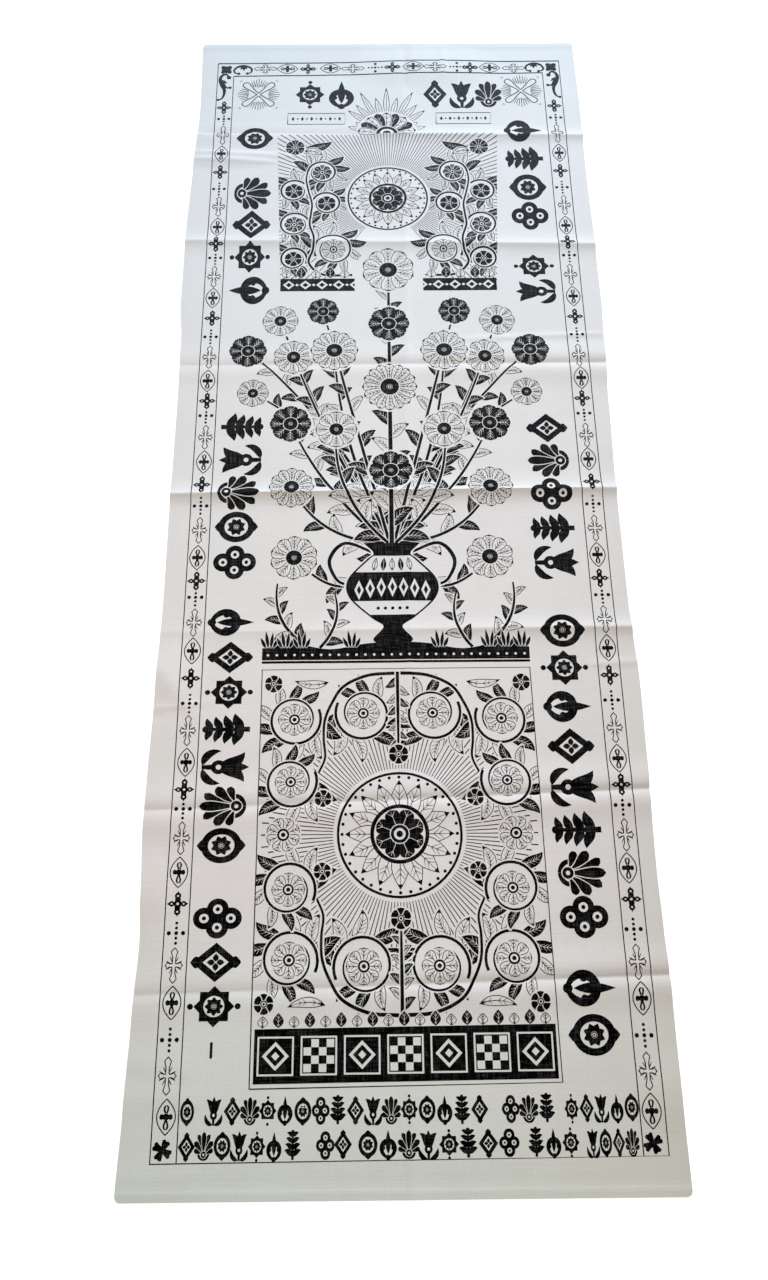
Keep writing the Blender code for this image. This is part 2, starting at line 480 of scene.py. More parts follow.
def leaf(root, tip, width, bend=0.0, veins=0, open_line=0.0, halo=0.0, shape=LEAF_SHAPE):
    """An inked leaf with bare veins, or a bare one whose outline has the open line's width."""
    spine = bow(root, tip, bend, max(8, veins + 3, len(shape) - 1))
    body = spread(shape * width, spine)
    marks = []
    if halo:
        beyond = halo * (tip - root) / abs(tip - root)
        marks += stroke(bow(root, tip + beyond, bend, len(shape)), shape * width + 2 * halo, BARE)
    marks += stroke(spine, body)
    if open_line:
        marks += stroke(spine[1:-1], np.maximum(body[1:-1] - 2 * open_line, 0.0), BARE)
    line, ink = open_line or max(VEIN_LINE * width, THINNEST_LINE), bool(open_line)
    if veins:
        marks += stroke(spine[1:-1], (line * 1.2, line * 0.5), ink)
    facing = headings(spine)
    for share in np.linspace(*VEIN_STRETCH, veins):
        n = int(share * (len(spine) - 1))
        reach = VEIN_REACH * body[n] / math.sin(math.radians(VEIN_ANGLE))
        for side in (1, -1):
            end = spine[n] + facing[n] * toward(side * VEIN_ANGLE) * reach
            marks += stroke([spine[n], end], (line * 0.9, 0.35 * line), ink)
    return marks


def rays(at, near, far, first, last, count, widths, short):
    """Straight tapered lines away from a point, every second one shorter."""
    marks = []
    for n in range(count):
        away = toward(first + (last - first) * n / (count - 1))
        reach = far if n % 2 == 0 else near + (far - near) * short
        marks += stroke([at + near * away, at + reach * away], widths)
    return marks


def blossom(
    at, radius, petals, open_line=0.0, core=0.34, start=90.0, veins=2, plump=1.1, halo=1.8, shape=PETAL_SHAPE
):
    """Petals round an inked core with a bare ring in it."""
    width = plump * 2.0 * radius * math.sin(math.pi / petals) * PETAL_FULLNESS
    marks = []
    for n in range(petals):
        away = toward(start + 360.0 * n / petals)
        root = at + away * radius * core * PETAL_ROOT
        marks += leaf(root, at + away * radius, width, 0.0, veins, open_line, halo, shape)
    for share, ink in CORE_RINGS:
        marks += disc(at, radius * core * share, ink)
    return marks


def leafy(path, width, leaves, size, inner=1.0, turn=1, until=0.82, open_line=0.95, halo=1.6):
    """A stem with leaves in turn on its two sides, which get smaller towards its end. Leaves on
    the side that it turns to are smaller by the inner share, and left out where that is zero."""
    facing = headings(path)
    marks = []
    for n in range(leaves):
        share = FIRST_LEAF + (until - FIRST_LEAF) * n / max(1, leaves - 1)
        i = round(share * (len(path) - 1))
        side = turn if n % 2 and inner else -turn
        reach = size * (1.0 - LEAF_SHRINK * share) * (inner if side == turn else 1.0)
        tip = path[i] + facing[i] * toward(side * LEAF_ANGLE) * reach
        line = open_line if n % 4 in (1, 2) else 0.0
        marks += leaf(path[i], tip, reach * LEAF_WIDTH, -LEAF_BEND * side, 5, line, halo)
    widths = STEM_TAPER * width
    return marks + stroke(path, widths + 2 * halo, BARE) + stroke(path, widths)


# One curl of a leafy vine round a flower. It turns to the left where its side is 1.
Lobe = namedtuple("Lobe", "centre radius side flower leaf")
LOBE_SWEEP = 430.0
LOBE_START = -24.0
# How late the curl draws in, and its leaves: their number, and where the last one stands.
LOBE_EASE = 1.25
LOBE_LEAVES = 9
LAST_LOBE_LEAF = 0.72
# Flowers over the first radius are large ones, and those over the second have open petals.
LARGE_FLOWER = 15
OPEN_FLOWER = 18


def curled(lobe, width):
    """The curl's stem and leaves, and the flower in its middle."""
    t = np.linspace(0, 1, 40)
    angle = LOBE_START + LOBE_SWEEP * t
    if lobe.side < 0:
        angle = 180 - angle
    reach = lobe.radius + (lobe.flower + 1 - lobe.radius) * t**LOBE_EASE
    path = lobe.centre + reach * np.exp(1j * np.radians(angle))
    marks = disc(lobe.centre, lobe.radius, BARE, 32)
    marks += leafy(path, width, LOBE_LEAVES, lobe.leaf, 0.0, lobe.side, LAST_LOBE_LEAF)
    veins, petals = (3, 8) if lobe.flower > LARGE_FLOWER else (0, 6)
    open_line = 0.95 if lobe.flower > OPEN_FLOWER else 0.0
    return marks + blossom(lobe.centre, lobe.flower, petals, open_line, veins=veins, halo=1.7)


def vine(points, lobes, width):
    """A waving stem with a curl in each of its bends."""
    marks = [m for lobe in lobes for m in curled(lobe, width * 0.8)]
    line = curve(points)
    return marks + stroke(line, width + 3.2, BARE) + stroke(line, (width, width * 0.8, width * 0.6))


def outside(corners, reach):
    """Bare marks all round a panel, which trim what stands out of it."""
    marks = []
    middle = sum(corners) / len(corners)
    for a, b in zip(corners, corners[1:] + corners[:1]):
        along = (b - a) / abs(b - a)
        out = -1j * along
        if ((a - middle) * np.conj(out)).real < 0:
            out = -out
        a, b = a - along * reach, b + along * reach
        marks += fill([a, b, b + out * reach, a + out * reach], BARE)
    return marks


# Bold ornaments of the columns and the foot lines, each in a box 62 across and 48 along.


def ringed_flower():
    marks = mirrored(leaf(16, 31, 17))
    marks += widened(disc(0, 23.5, INK, 32), 1.10) + widened(disc(0, 15.0, BARE, 32), 1.12)
    return marks + blossom(0, 13.5, 8, 0.0, 0.26, 22.5, 0, 1.05, 0.0, LEAF_SHAPE)


def lozenge_leaves():
    marks = mirrored(leaf(18, 31, 15)) + lozenge(0, 29, 24) + lozenge(0, 16.0, 13, BARE)
    return marks + around(leaf(1.0, 10.8, 7.5), 4)


def leaf_bough():
    marks = stroke([-30, 30], (7.5, 4.0))
    for n, x in enumerate((-23, -9, 5, 18)):
        size = 1.0 - 0.10 * n
        for side in (1, -1):
            marks += leaf(x, x + toward(side * 60) * 27 * size, 13.5 * size, -0.12 * side)
    return marks + disc(28, 5.0)


def palmette():
    """Round petals that fan out over two curls."""
    marks = []
    for side in (1, -1):
        path = tendril(-27, side * 84, 40, side * -250, 1.5, 14)
        marks += stroke(path, (6.0, 6.0, 3.5)) + disc(path[-1], 3.2, INK, 10)
    for angle, reach, width in ((74, 28, 11), (47, 37, 13), (23, 45, 12)):
        for side in (1, -1):
            away = toward(side * angle)
            root, tip = -17 + away * 5, -17 + away * reach
            marks += leaf(root, tip, width, -0.10 * side, halo=1.5, shape=PETAL_SHAPE)
    marks += leaf(-14, 31, 13.0, halo=1.5, shape=PETAL_SHAPE)
    return marks + disc(-17, 8.6, BARE) + disc(-17, 7.2) + disc(-17, 2.8, BARE)


def eight_star():
    marks = mirrored(disc(28.5, 3.6))
    for first in (0, 45):
        marks += fill([24.5 * toward(first + turn) for turn in (0, 90, 180, 270)])
    return marks + disc(0, 12.6, BARE, 20) + blossom(0, 11.4, 8, 0.0, 0.28, 0, 0, 1.0, 0.0, LEAF_SHAPE)


def four_rings():
    marks = []
    for radius, ink, sides in ((13.6, INK, 22), (6.0, BARE, 18), (2.6, INK, 12)):
        for at in (16.5, -16.5, 11.5j, -11.5j):
            marks += disc(at, radius, ink, sides)
    return marks + lozenge(0, 6, 6)


def twin_scroll():
    marks = leaf(-20, 31, 13)
    for side in (1, -1):
        path = tendril(-28, side * 68, 74, side * -258, 1.35)
        marks += stroke(path, (5.0, 10.0, 10.0, 5.0)) + disc(path[-1], 4.2)
    return marks + disc(-27, 6.0)


def tulip():
    marks = leaf(-10, 31, 17)
    for side in (1, -1):
        marks += leaf(-10 + 4j * side, 25 + 21j * side, 17, -0.18 * side)
        marks += leaf(-30 + 2j * side, -6 + 23j * side, 11, 0.22 * side)
    return marks + stroke([-31, -4], (5.5, 9)) + disc(-9, 10.0) + disc(-9, 3.6, BARE)


def short_bar():
    """One short bar that runs along the column."""
    bar = [-1.6 - 18j, 1.6 - 18j, 1.6 + 18j, -1.6 + 18j]
    return fill(bar) + disc(18j, 1.6) + disc(-18j, 1.6)


ORNAMENTS = (
    ringed_flower, lozenge_leaves, leaf_bough, palmette, eight_star,
    four_rings, twin_scroll, tulip, short_bar,
)


# Motifs of the narrow border, upright and centred.


def bud_cross():
    """A cross of ring buds, each drawn out to a point, round a ring in the middle."""
    marks = disc(5.2j, 3.6) + disc(-5.2j, 3.6) + disc(0, 5.0)
    for end in (9.6j, -9.6j, 7.4, -7.4):
        away = end / abs(end)
        size = 4.0 if abs(end) > 8 else 3.4
        marks += disc(end, size) + fill([end + 3.2j * away, end + 6.0 * away, end - 3.2j * away])
        marks += disc(end, size * 0.34, BARE, 8)
    return marks + disc(0, 1.7, BARE, 10)


def dot_cross(above=2):
    """A row of three dots crossed by a column of smaller ones."""
    marks = disc(-9.0, 2.6) + disc(8.4, 2.6) + disc(0, 2.4)
    for n in range(above):
        marks += disc(6.0j * (n + 1), 1.9, INK, 8)
    return marks + disc(-5.9j, 1.9, INK, 8) + disc(-12.0j, 1.9, INK, 8)


def short_dot_cross():
    return dot_cross(above=1)


def lily_cross():
    """A cross in outline, its arms swollen towards pointed ends, with short rays in its corners."""
    marks = []
    for corner in (45, 135, 225, 315):
        for turn in (-17, 17):
            away = toward(corner + turn)
            marks += stroke([away * 5.2, away * 10.8], (1.3, 0.7))
    for n, (reach, belly) in enumerate(((10.6, 3.4), (20.6, 4.0), (10.6, 3.4), (20.6, 4.0))):
        side = [2.0 - 2.0j, reach * 0.45 - 2.0j, reach * 0.78 - 1j * belly, reach - 1.0 - 0.9j]
        side = np.array(side + [reach] + [z.conjugate() for z in side[::-1]])
        marks += placed(stroke(side, 1.25), angle=90 * n)
    return marks


def oval_cross():
    """A pointed oval in outline round a cross with open loops up and down and solid arms."""
    left = bow(19.0j, -19.0j, -0.285, 10)
    marks = stroke(left, 1.3) + stroke(-np.conj(left), 1.3)
    for root, end in ((1.2j, 12.6j), (-1.2j, -14.0j)):
        marks += leaf(root, end, 6.6, open_line=2.2, shape=PETAL_SHAPE)
    return marks + mirrored(leaf(0.5, 7.8, 6.0, shape=PETAL_SHAPE)) + disc(0, 3.8)


def flared_cross():
    """A solid cross whose arms widen outwards to a shallow notch."""
    arm = [-2.0j, 9.8 - 5.0j, 11.4 - 2.4j, 10.2, 11.4 + 2.4j, 9.8 + 5.0j, 2.0j, -2.0]
    return around(fill(arm), 4)


def quatrefoil():
    return around(disc(7.6 * toward(45), 3.9) + leaf(2, 9.4, 4.0), 4) + disc(0, 5.4)


def rayed_cross():
    """A cross of four rounded paddles in outline, set cornerwise, with rays in its gaps."""
    marks = []
    for n in range(4):
        for turn in np.linspace(-25, 25, 7):
            away = toward(90 * n + turn)
            near = 16.5 + 0.10 * abs(turn)
            marks += stroke([away * near, away * (37.0 - 0.20 * abs(turn))], (1.3, 0.9))
        side = curve([2.0 - 2.0j, 13 - 3.0j, 27 - 5.6j, 34 - 4.8j, 36.5], 5)
        marks += placed(stroke(side, 1.6) + stroke(np.conj(side), 1.6), angle=45 + 90 * n)
        for side in (1.4j, -1.4j):
            marks += placed(stroke([42.5 + side, 46.0 + side], 0.8), angle=45 + 90 * n)
    return marks


def corner_flourish():
    """The leaf scrolls of the top left corner, placed from the middle of its knot."""
    marks = quatrefoil()
    over = curve([
        21.9 - 9.5j, 15.5 - 7.5j, 13.4 - 2.0j, 18.6 + 6.0j, 30.0 + 8.8j,
        41.0 + 5.0j, 44.2 - 2.0j, 41.5 - 7.5j, 36.6 - 9.0j,
    ])
    marks += stroke(over, (2.0, 3.4, 4.0, 5.2, 4.0, 3.4, 2.0))
    marks += disc(over[0], 2.8, INK, 10) + disc(over[-1], 2.8, INK, 10)
    for tip in (24.0 + 0.5j, 30.5 - 3.0j, 36.0 + 1.5j):
        marks += leaf(29.5 + 8.5j, tip, 4.6)
    down = curve([
        5.2 - 18.5j, 0.6 - 11.2j, -6.5 - 13.5j, -9.8 - 23.0j, -6.4 - 36.0j,
        -1.6 - 48.0j, -2.2 - 60.0j, -6.0 - 68.0j, -11.2 - 70.2j,
    ])
    marks += stroke(down, (2.4, 4.2, 6.0, 7.2, 5.6, 4.0, 2.2))
    marks += disc(down[0], 4.0, INK, 12) + disc(down[-1], 2.6, INK, 10)
    branch = curve([-5.0 - 30.0j, 1.0 - 42.0j, 8.0 - 42.6j])
    marks += stroke(branch, (5.0, 2.6)) + disc(branch[-1], 2.9, INK, 10)
    return marks + leaf(-7.0 - 24.0j, 2.5 - 33.0j, 5.0)


BORDER_MOTIFS = (bud_cross, dot_cross, lily_cross, oval_cross, short_dot_cross)

# The three large panels. All of their motifs are common leaf and flower ornament.
TOP_PANEL = (-174 + 1263j, 167 + 1263j, 183 + 1588j, -187 + 1588j)
TOP_HUB = -3 + 1450j
TOP_VINE = (
    58 + 1294j, 104 + 1295j, 127 + 1318j, 121 + 1344j, 120 + 1370j, 127 + 1396j,
    125 + 1420j, 124 + 1440j, 130 + 1466j, 134 + 1490j, 132 + 1508j,
)
TOP_LOBES = (
    Lobe(152 + 1326j, 22, -1, 14, 30), Lobe(88 + 1344j, 31, 1, 19, 38), Lobe(152 + 1396j, 25, -1, 16, 34),
    Lobe(100 + 1440j, 24, 1, 15, 30), Lobe(154 + 1466j, 24, -1, 15, 34), Lobe(108 + 1506j, 24, 1, 16, 36),
)
# The bare notch in the panel's lower edge, where the bouquet's top flower stands.
NOTCH_RADIUS = 54.0
NOTCH_DEPTH = 60.0
NOTCH_PLACE = -3 + 1300j


def leaf_row(start, end, count, tall, wide):
    """A row of upright leaves, in turn inked and open."""
    marks = []
    for n in range(count):
        root = start + (end - start) * (n + 0.5) / count
        height, line = (tall, 0.0) if n % 2 else (tall * 0.78, 0.9)
        marks += leaf(root, root + 1j * height, wide, 0.0, 3, line, 1.0)
    return marks


def lozenge_band(start, end, tall, count):
    """An inked band with a row of bare lozenges, each round an inked one, and beads between."""
    up = 0.5j * tall
    marks = fill([start - up, end - up, end + up, start + up])
    pitch = (end - start) / count
    for n in range(count):
        at = start + pitch * (n + 0.5)
        wide, high = pitch.real * 0.36, tall * 0.36
        marks += lozenge(at, wide, high, BARE) + lozenge(at, wide * 0.5, high * 0.5)
        if n:
            marks += disc(start + pitch * n, tall * 0.10, BARE, 10)
    return marks


def rising_fan(at, radius, room, reach):
    """Half a flower with a fan of slim open leaves behind it, kept within the room at its sides."""
    marks = []
    for n, angle in enumerate(np.linspace(15, 165, 13)):
        away = toward(angle)
        far = min(reach, room / max(0.01, abs(away.real))) * (1.0 if n % 2 == 0 else 0.80)
        if far > radius * 1.15:
            marks += leaf(at + away * radius * 0.8, at + away * far, 11.0, 0.0, 0, 1.0, 0.7)
            marks += stroke([at + away * radius, at + away * far * 0.86], (0.9, 0.6))
    marks += half_round(at, radius * 1.06, BARE)
    for n in range(9):
        away = toward(10 + 20 * n)
        line = 0.0 if n % 2 else 1.1
        marks += leaf(at + away * 8, at + away * radius, radius * 0.34, 0.0, 3, line, 1.2, PETAL_SHAPE)
    for share, ink in ((0.40, BARE), (0.36, INK), (0.24, BARE), (0.14, INK)):
        marks += half_round(at, radius * share, ink)
    return marks


def top_panel():
    """A sun flower over rays, with leafy vines at its sides and a half flower rising over it."""
    marks = rays(TOP_HUB, 60, 330, -58, 238, 131, (0.7, 1.8), 0.90)
    half = vine(TOP_VINE, TOP_LOBES, 4.2)
    half += blossom(154 + 1560j, 16, 6, core=0.32)
    half += leaf(136 + 1560j, 92 + 1572j, 17, 0.12, 5, 0.0, 1.6)
    half += leaf(138 + 1552j, 108 + 1544j, 15, -0.12, 4, 0.95, 1.6)
    marks += placed(mirrored(half), at=TOP_HUB.real)
    marks += placed(sun_flower(66), at=TOP_HUB)
    marks += leaf_row(-176 + 1288j, 168 + 1288j, 15, 22, 15)
    marks += outside(TOP_PANEL, 200)
    marks += lozenge_band(-174 + 1275j, 167 + 1275j, 24, 13)
    marks += disc(NOTCH_PLACE, NOTCH_RADIUS, BARE, 36)
    left, right = NOTCH_PLACE - NOTCH_RADIUS, NOTCH_PLACE + NOTCH_RADIUS
    marks += fill([left - 1j * NOTCH_DEPTH, right - 1j * NOTCH_DEPTH, right, left], BARE)
    return marks + rising_fan(TOP_HUB.real + 1588j, 50, 66, 108)


def sun_flower(radius):
    """Rings of petals about the zero point, sized from its outer ring."""
    marks = disc(0, radius * 1.06, BARE, 48) + ring(0, radius, radius * 0.04, 56)
    for n in range(36):
        marks += disc(toward(10 * n) * radius * 0.915, radius * 0.028, INK, 6)
    marks += blossom(0, radius * 0.87, 16, 1.0, 0.44, 0, 4, halo=0.0, shape=LEAF_SHAPE)
    marks += ring(0, radius * 0.47, radius * 0.06, 40)
    return marks + blossom(0, radius * 0.40, 8, 0.0, 0.36, 22.5, 2, 1.0, 0.0)


# The middle panel's flowers, as a pair where they stand off the middle. The bend is how far
# the stem from the vase bows out to its left, as a share of its length.
Flower = namedtuple("Flower", "at radius petals open bend leaves")
VASE_MOUTH = 822j
MIDDLE_STEM = 470
BOUQUET = (
    Flower(216 + 1150j, 29, 8, False, -0.06, 11),
    Flower(206 + 1074j, 24, 8, True, -0.09, 9),
    Flower(168 + 1206j, 28, 8, True, 0.02, 11),
    Flower(146 + 1138j, 31, 10, True, 0.02, 9),
    Flower(148 + 1020j, 31, 8, False, 0.06, 8),
    Flower(144 + 912j, 33, 12, True, 0.16, 6),
    Flower(84 + 1150j, 37, 12, True, 0.05, 9),
    Flower(102 + 1224j, 25, 8, False, 0.00, 11),
    Flower(80 + 1010j, 31, 8, True, 0.12, 6),
    Flower(138 + 800j, 34, 10, True, 0.42, 6),
)
MIDDLE_FLOWERS = (
    Flower(1304j, 42, 10, True, 0.0, 0),
    Flower(1200j, 32, 8, False, 0.0, 0),
    Flower(1084j, 42, 16, True, 0.0, 0),
    Flower(940j, 32, 8, False, 0.0, 0),
)
VASE_SIDE = (
    17 + 668j, 27 + 676j, 13 + 694j, 30 + 708j, 60 + 738j, 62 + 766j, 36 + 796j, 26 + 806j, 40 + 822j,
)
VASE_HANDLE = (24 + 806j, 66 + 822j, 88 + 796j, 78 + 766j, 60 + 756j)
VASE_WALL = 3.4
# The two stretches of the vase that are bare, with small marks on them.
VASE_BARE_BANDS = ((712, 733), (776, 802))
MIDDLE = -4.0
GROUND_TOP = (
    -182 + 664j, -140 + 670j, -90 + 662j, -40 + 670j, 0 + 672j, 44 + 670j, 92 + 662j, 144 + 671j, 181 + 664j,
)
TUFTS = (-172, -150, -128, -60, 60, 128, 150, 172)


def flower_head(flower):
    """A flower with veined or open petals round a small inked one, on bare ground."""
    line = 1.0 if flower.open else 0.0
    marks = disc(flower.at, flower.radius + 2.4, BARE, 40)
    marks += blossom(flower.at, flower.radius, flower.petals, line, veins=4, plump=1.15, halo=0.0)
    return marks + blossom(flower.at, flower.radius * 0.30, 8, 0.0, 0.34, 0, 0, 1.0, 0.0, LEAF_SHAPE)


def bouquet():
    """Leafy stems that fan out of the vase, with their flowers."""
    half = []
    for n, flower in enumerate(BOUQUET):
        path = bow(VASE_MOUTH + 1.6 * (n % 5), flower.at, -flower.bend, 26)
        half += leafy(path, 4.6, flower.leaves, 44, 1.0, 1 - 2 * (n % 2), 0.84, 0.9, 1.3)
    for flower in BOUQUET:
        half += flower_head(flower)
    stem = VASE_MOUTH + 1j * np.linspace(0, MIDDLE_STEM, 40)
    marks = mirrored(half) + leafy(stem, 6.4, 19, 46, 1.0, 1, 0.96, 0.9, 1.3)
    for flower in MIDDLE_FLOWERS:
        marks += flower_head(flower)
    return marks


def both_sides(side, ink=INK):
    """A shape between a line and its image on the other side of the middle."""
    return fill(np.concatenate([side, -np.conj(side[::-1])]), ink)


def vase():
    """A round-bellied vase in outline on an inked foot, with a band of lozenges on its belly."""
    side, handle = curve(VASE_SIDE), curve(VASE_HANDLE)
    marks = mirrored(stroke(handle, 8.4, BARE) + stroke(handle, (3.6, 5.6, 3.6)))
    marks += both_sides(side + 3, BARE) + both_sides(side)
    inner = side - VASE_WALL
    for low, high in VASE_BARE_BANDS:
        marks += both_sides(inner[(inner.imag > low) & (inner.imag < high)], BARE)
    for n in range(-3, 4):
        at = complex(15.5 * n, 754 - 0.5 * n * n)
        marks += lozenge(at, 6.6, 15, BARE) + lozenge(at, 3.0, 7)
    for n in range(-2, 3):
        line = 0.0 if n % 2 else 0.9
        marks += leaf(complex(13 * n, 779), complex(11 * n, 799), 8.0, 0.0, 2, line)
        marks += disc(complex(10 * n, 722), 2.4, INK, 10)
    return marks


def ground():
    """An inked strip of ground with bare beads, tufts of blades and two low plants."""
    marks = []
    for side in (1, -1):
        outer = bow(complex(side * 118, 664), complex(side * 164, 760), -0.16 * side, 16)
        inner = bow(complex(side * 104, 664), complex(side * 84, 744), 0.14 * side, 16)
        marks += leafy(outer, 4.4, 7, 34) + leafy(inner, 4.0, 6, 30)
    marks += fill(np.concatenate([curve(GROUND_TOP, 5), [181 + 642j, -182 + 642j]]))
    for x in TUFTS:
        for lean, tall in ((-26, 17), (-9, 25), (7, 23), (24, 16)):
            base = complex(x + lean * 0.2, 664)
            marks += leaf(base, base + toward(90 - lean) * tall, 4.8, halo=0.8)
    marks += stroke([-182 + 646j, 181 + 646j], 1.4, BARE)
    for x in range(-174, 180, 12):
        marks += disc(complex(x, 654), 1.9, BARE, 8)
    return marks


def middle_panel():
    """A vase on a strip of ground, with a wide bunch of flowers that fills the panel."""
    return placed(bouquet() + vase(), at=MIDDLE) + ground()


BOTTOM_PANEL = (-179 + 116j, 187 + 120j, 180 + 634j, -181 + 633j)
# Places in the lower panel are measured from its rosette. The vines are drawn below it.
BOTTOM_HUB = 1 + 411j
BOTTOM_VINE = (4 - 216j, 40 - 213j, 72 - 198j, 88 - 174j, 97 - 150j, 98 - 124j, 96 - 100j, 104 - 80j)
BOTTOM_LOBES = (
    Lobe(46 - 160j, 37, 1, 22, 42), Lobe(137 - 152j, 35, -1, 22, 40), Lobe(140 - 68j, 34, -1, 21, 38),
)
BAND_FIELDS = 7


def framed_lozenge(at, box):
    """Lozenges one in another: bare, inked and bare."""
    marks = []
    for share, ink in ((0.66, BARE), (0.46, INK), (0.20, BARE)):
        marks += fill(at + 1.12 * box * np.array([share, share * 1j, -share, -share * 1j]), ink)
    return marks


def small_chequer(at, box):
    """Bare cells on the inked field, four across and four along, every second one."""
    cell = 2 * box * 0.84 / 4
    marks = []
    for row in range(4):
        for column in range(row % 2, 4, 2):
            low = at + complex(column - 2, row - 2) * cell
            marks += fill([low, low + cell, low + cell * (1 + 1j), low + 1j * cell], BARE)
    return marks


def chequer_band(start, end, tall):
    """An inked band of square fields, in turn a framed lozenge and a small chequer."""
    pitch = (end - start) / BAND_FIELDS
    up = 0.5j * tall
    marks = fill([start - up, end - up, end + up, start + up])
    box = 0.5 * pitch.real - 4
    corners = np.array([-box - 1j * box, box - 1j * box, box + 1j * box, -box + 1j * box])
    for n in range(BAND_FIELDS):
        at = start + pitch * (n + 0.5)
        marks += fill(at + corners, BARE) + fill(at + corners * 0.90)
        marks += small_chequer(at, box) if n % 2 else framed_lozenge(at, box)
    return marks


def bottom_panel():
    """A rayed rosette between leafy vines, and under them a band of lozenges and chequers."""
    marks = rays(BOTTOM_HUB, 60, 176, 0, 357.5, 144, (0.8, 1.5), 0.93)
    half = vine(BOTTOM_VINE, BOTTOM_LOBES, 4.6)
    half += blossom(166 - 202j, 12, 6, veins=0) + blossom(98 - 46j, 11, 6, veins=0)
    half = mirrored(half + leaf(92 - 204j, 138 - 206j, 13, 0.1, 4, 0.9, 1.4))
    half += leafy(1j * np.linspace(-218, -108, 20), 4.4, 9, 24)
    half += blossom(-104j, 13, 6, veins=0)
    marks += placed(half, at=BOTTOM_HUB) + placed(half, at=BOTTOM_HUB, angle=180)
    for side in (-148, 148):
        marks += blossom(BOTTOM_HUB + side, 22, 8, 1.0, 0.36, 22.5, 3, halo=2.0)
    marks += placed(sun_flower(80), at=BOTTOM_HUB)
    marks += leaf_row(-175 + 182j, 181 + 184j, 19, 17, 13)
    marks += chequer_band(-175 + 151j, 183 + 154j, 60)
    return marks + outside(BOTTOM_PANEL, 330) + loop(BOTTOM_PANEL, 1.4)


# Bold ornaments in columns beside the panels and in a line over them. A group is a run of
# ornaments between two places, or between two X where the run goes across, and its kinds
# are their numbers in the list of ornaments.
Group = namedtuple("Group", "first last kinds")
LEFT_COLUMN = -225.0
RIGHT_COLUMN = 227.5
LEFT_GROUPS = (
    Group(1604, 1557, "0"),
    Group(1494, 1232, "3146"),
    Group(1042, 766, "27305"),
    Group(728, 373, "6142730"),
    Group(335, 181, "514"),
    Group(170, 148, "8"),
)
RIGHT_GROUPS = (
    Group(1625, 1381, "6205"),
    Group(1335, 1235, "47"),
    Group(1037, 762, "13527"),
    Group(714, 279, "04617235"),
    Group(250, 144, "60"),
)
HEAD_PLACE = 1679.5
HEAD_GROUPS = (Group(-161, -53, "46"), Group(58, 196, "173"))
UPPER_FOOT_PLACE = 92.5
UPPER_FOOT_GROUPS = (
    Group(-258, -241, "0"),
    Group(-229, 99, "7134605217340621"),
    Group(115, 176, "532"),
    Group(187, 273, "41760"),
)
LOWER_FOOT_PLACE = 56.5
LOWER_FOOT_GROUPS = (
    Group(-259, -117, "1307462"),
    Group(-100, -58, "51"),
    Group(-52, 132, "06374215"),
    Group(142, 202, "264"),
    Group(210, 270, "7013"),
)
COLUMN_WIDTH = 62.0
FOOT_HEIGHT = 30.5
ORNAMENT_BOX = 62 + 48j
COLUMN_GAP = 5.5
FOOT_GAP = 0.6

# The run of the side borders: places of its motifs, measured down from each double unit.
# Only those inside the stretch are kept, and then come those of the border's end. Each is
# a kind and a place, or in the top border a kind and an X.
BORDER_UNIT = 295.0
BORDER_UNITS = 6
BORDER_TOP = 1802.0
BORDER_STRETCH = (200.0, 1660.0)
BORDER_STEPS = ((0, 0), (1, 35), (2, 73), (3, 115), (0, 151), (4, 177), (2, 214), (3, 256))
BORDER_END = ((1, 170), (2, 131), (3, 88))
TOP_BORDER = (
    (2, -213), (3, -175), (0, -138), (3, -100), (2, -60), (1, -22), (0, 8),
    (3, 44), (2, 83), (1, 120), (0, 144), (3, 177), (2, 220),
)
TOP_BORDER_PLACE = 1741.0
TOP_BORDER_SIZE = 0.96
# Corners of the frame's outer and inner lines, and the middles of its side bands at the
# foot end and at the head end.
OUTER_FRAME = (-289 + 39j, 303 + 42j, 299 + 1757j, -295 + 1754j)
INNER_FRAME = (-259 + 39j, -267 + 1724j, 269 + 1729j, 274 + 42j)
HEAD_LINE_GAIN = 1.7
LEFT_BAND = (-274.0, -281.0)
RIGHT_BAND = (288.5, 284.0)
# The two small framed boxes at the head.
LABEL_SPANS = ((-171, -74), (81, 174))
LABEL_LOW, LABEL_HIGH = 1612j, 1637j

Stamp = namedtuple("Stamp", "kind at turn across along")


def border_stamps():
    """Where each motif of the narrow border goes."""
    tops = [BORDER_TOP - BORDER_UNIT * unit for unit in range(BORDER_UNITS)]
    places = [(kind, top - step) for top in tops for kind, step in BORDER_STEPS]
    low, high = BORDER_STRETCH
    places = [(kind, place) for kind, place in places if low < place < high] + list(BORDER_END)
    stamps = []
    for kind, place in places:
        for foot_x, head_x in (LEFT_BAND, RIGHT_BAND):
            x = foot_x + (head_x - foot_x) * place * MM / CLOTH_LENGTH
            stamps.append(Stamp(kind, complex(x, place), 0.0, 1.0, 1.0))
    for kind, x in TOP_BORDER:
        stamps.append(Stamp(kind, complex(x, TOP_BORDER_PLACE), 90.0, 1.0, TOP_BORDER_SIZE))
    return stamps


def group_stamps(group, middle, depth, gap, across):
    """The ornaments of one group, fitted to the group's length and the line's depth."""
    pitch = (group.last - group.first) / len(group.kinds)
    stretch = depth / ORNAMENT_BOX.real, (abs(pitch) - gap) / ORNAMENT_BOX.imag
    stamps = []
    for n, kind in enumerate(group.kinds):
        step = group.first + pitch * (n + 0.5)
        at = complex(step, middle) if across else complex(middle, step)
        stamps.append(Stamp(int(kind), at, 90.0 if across else 180.0 * (n % 2), *stretch))
    return stamps


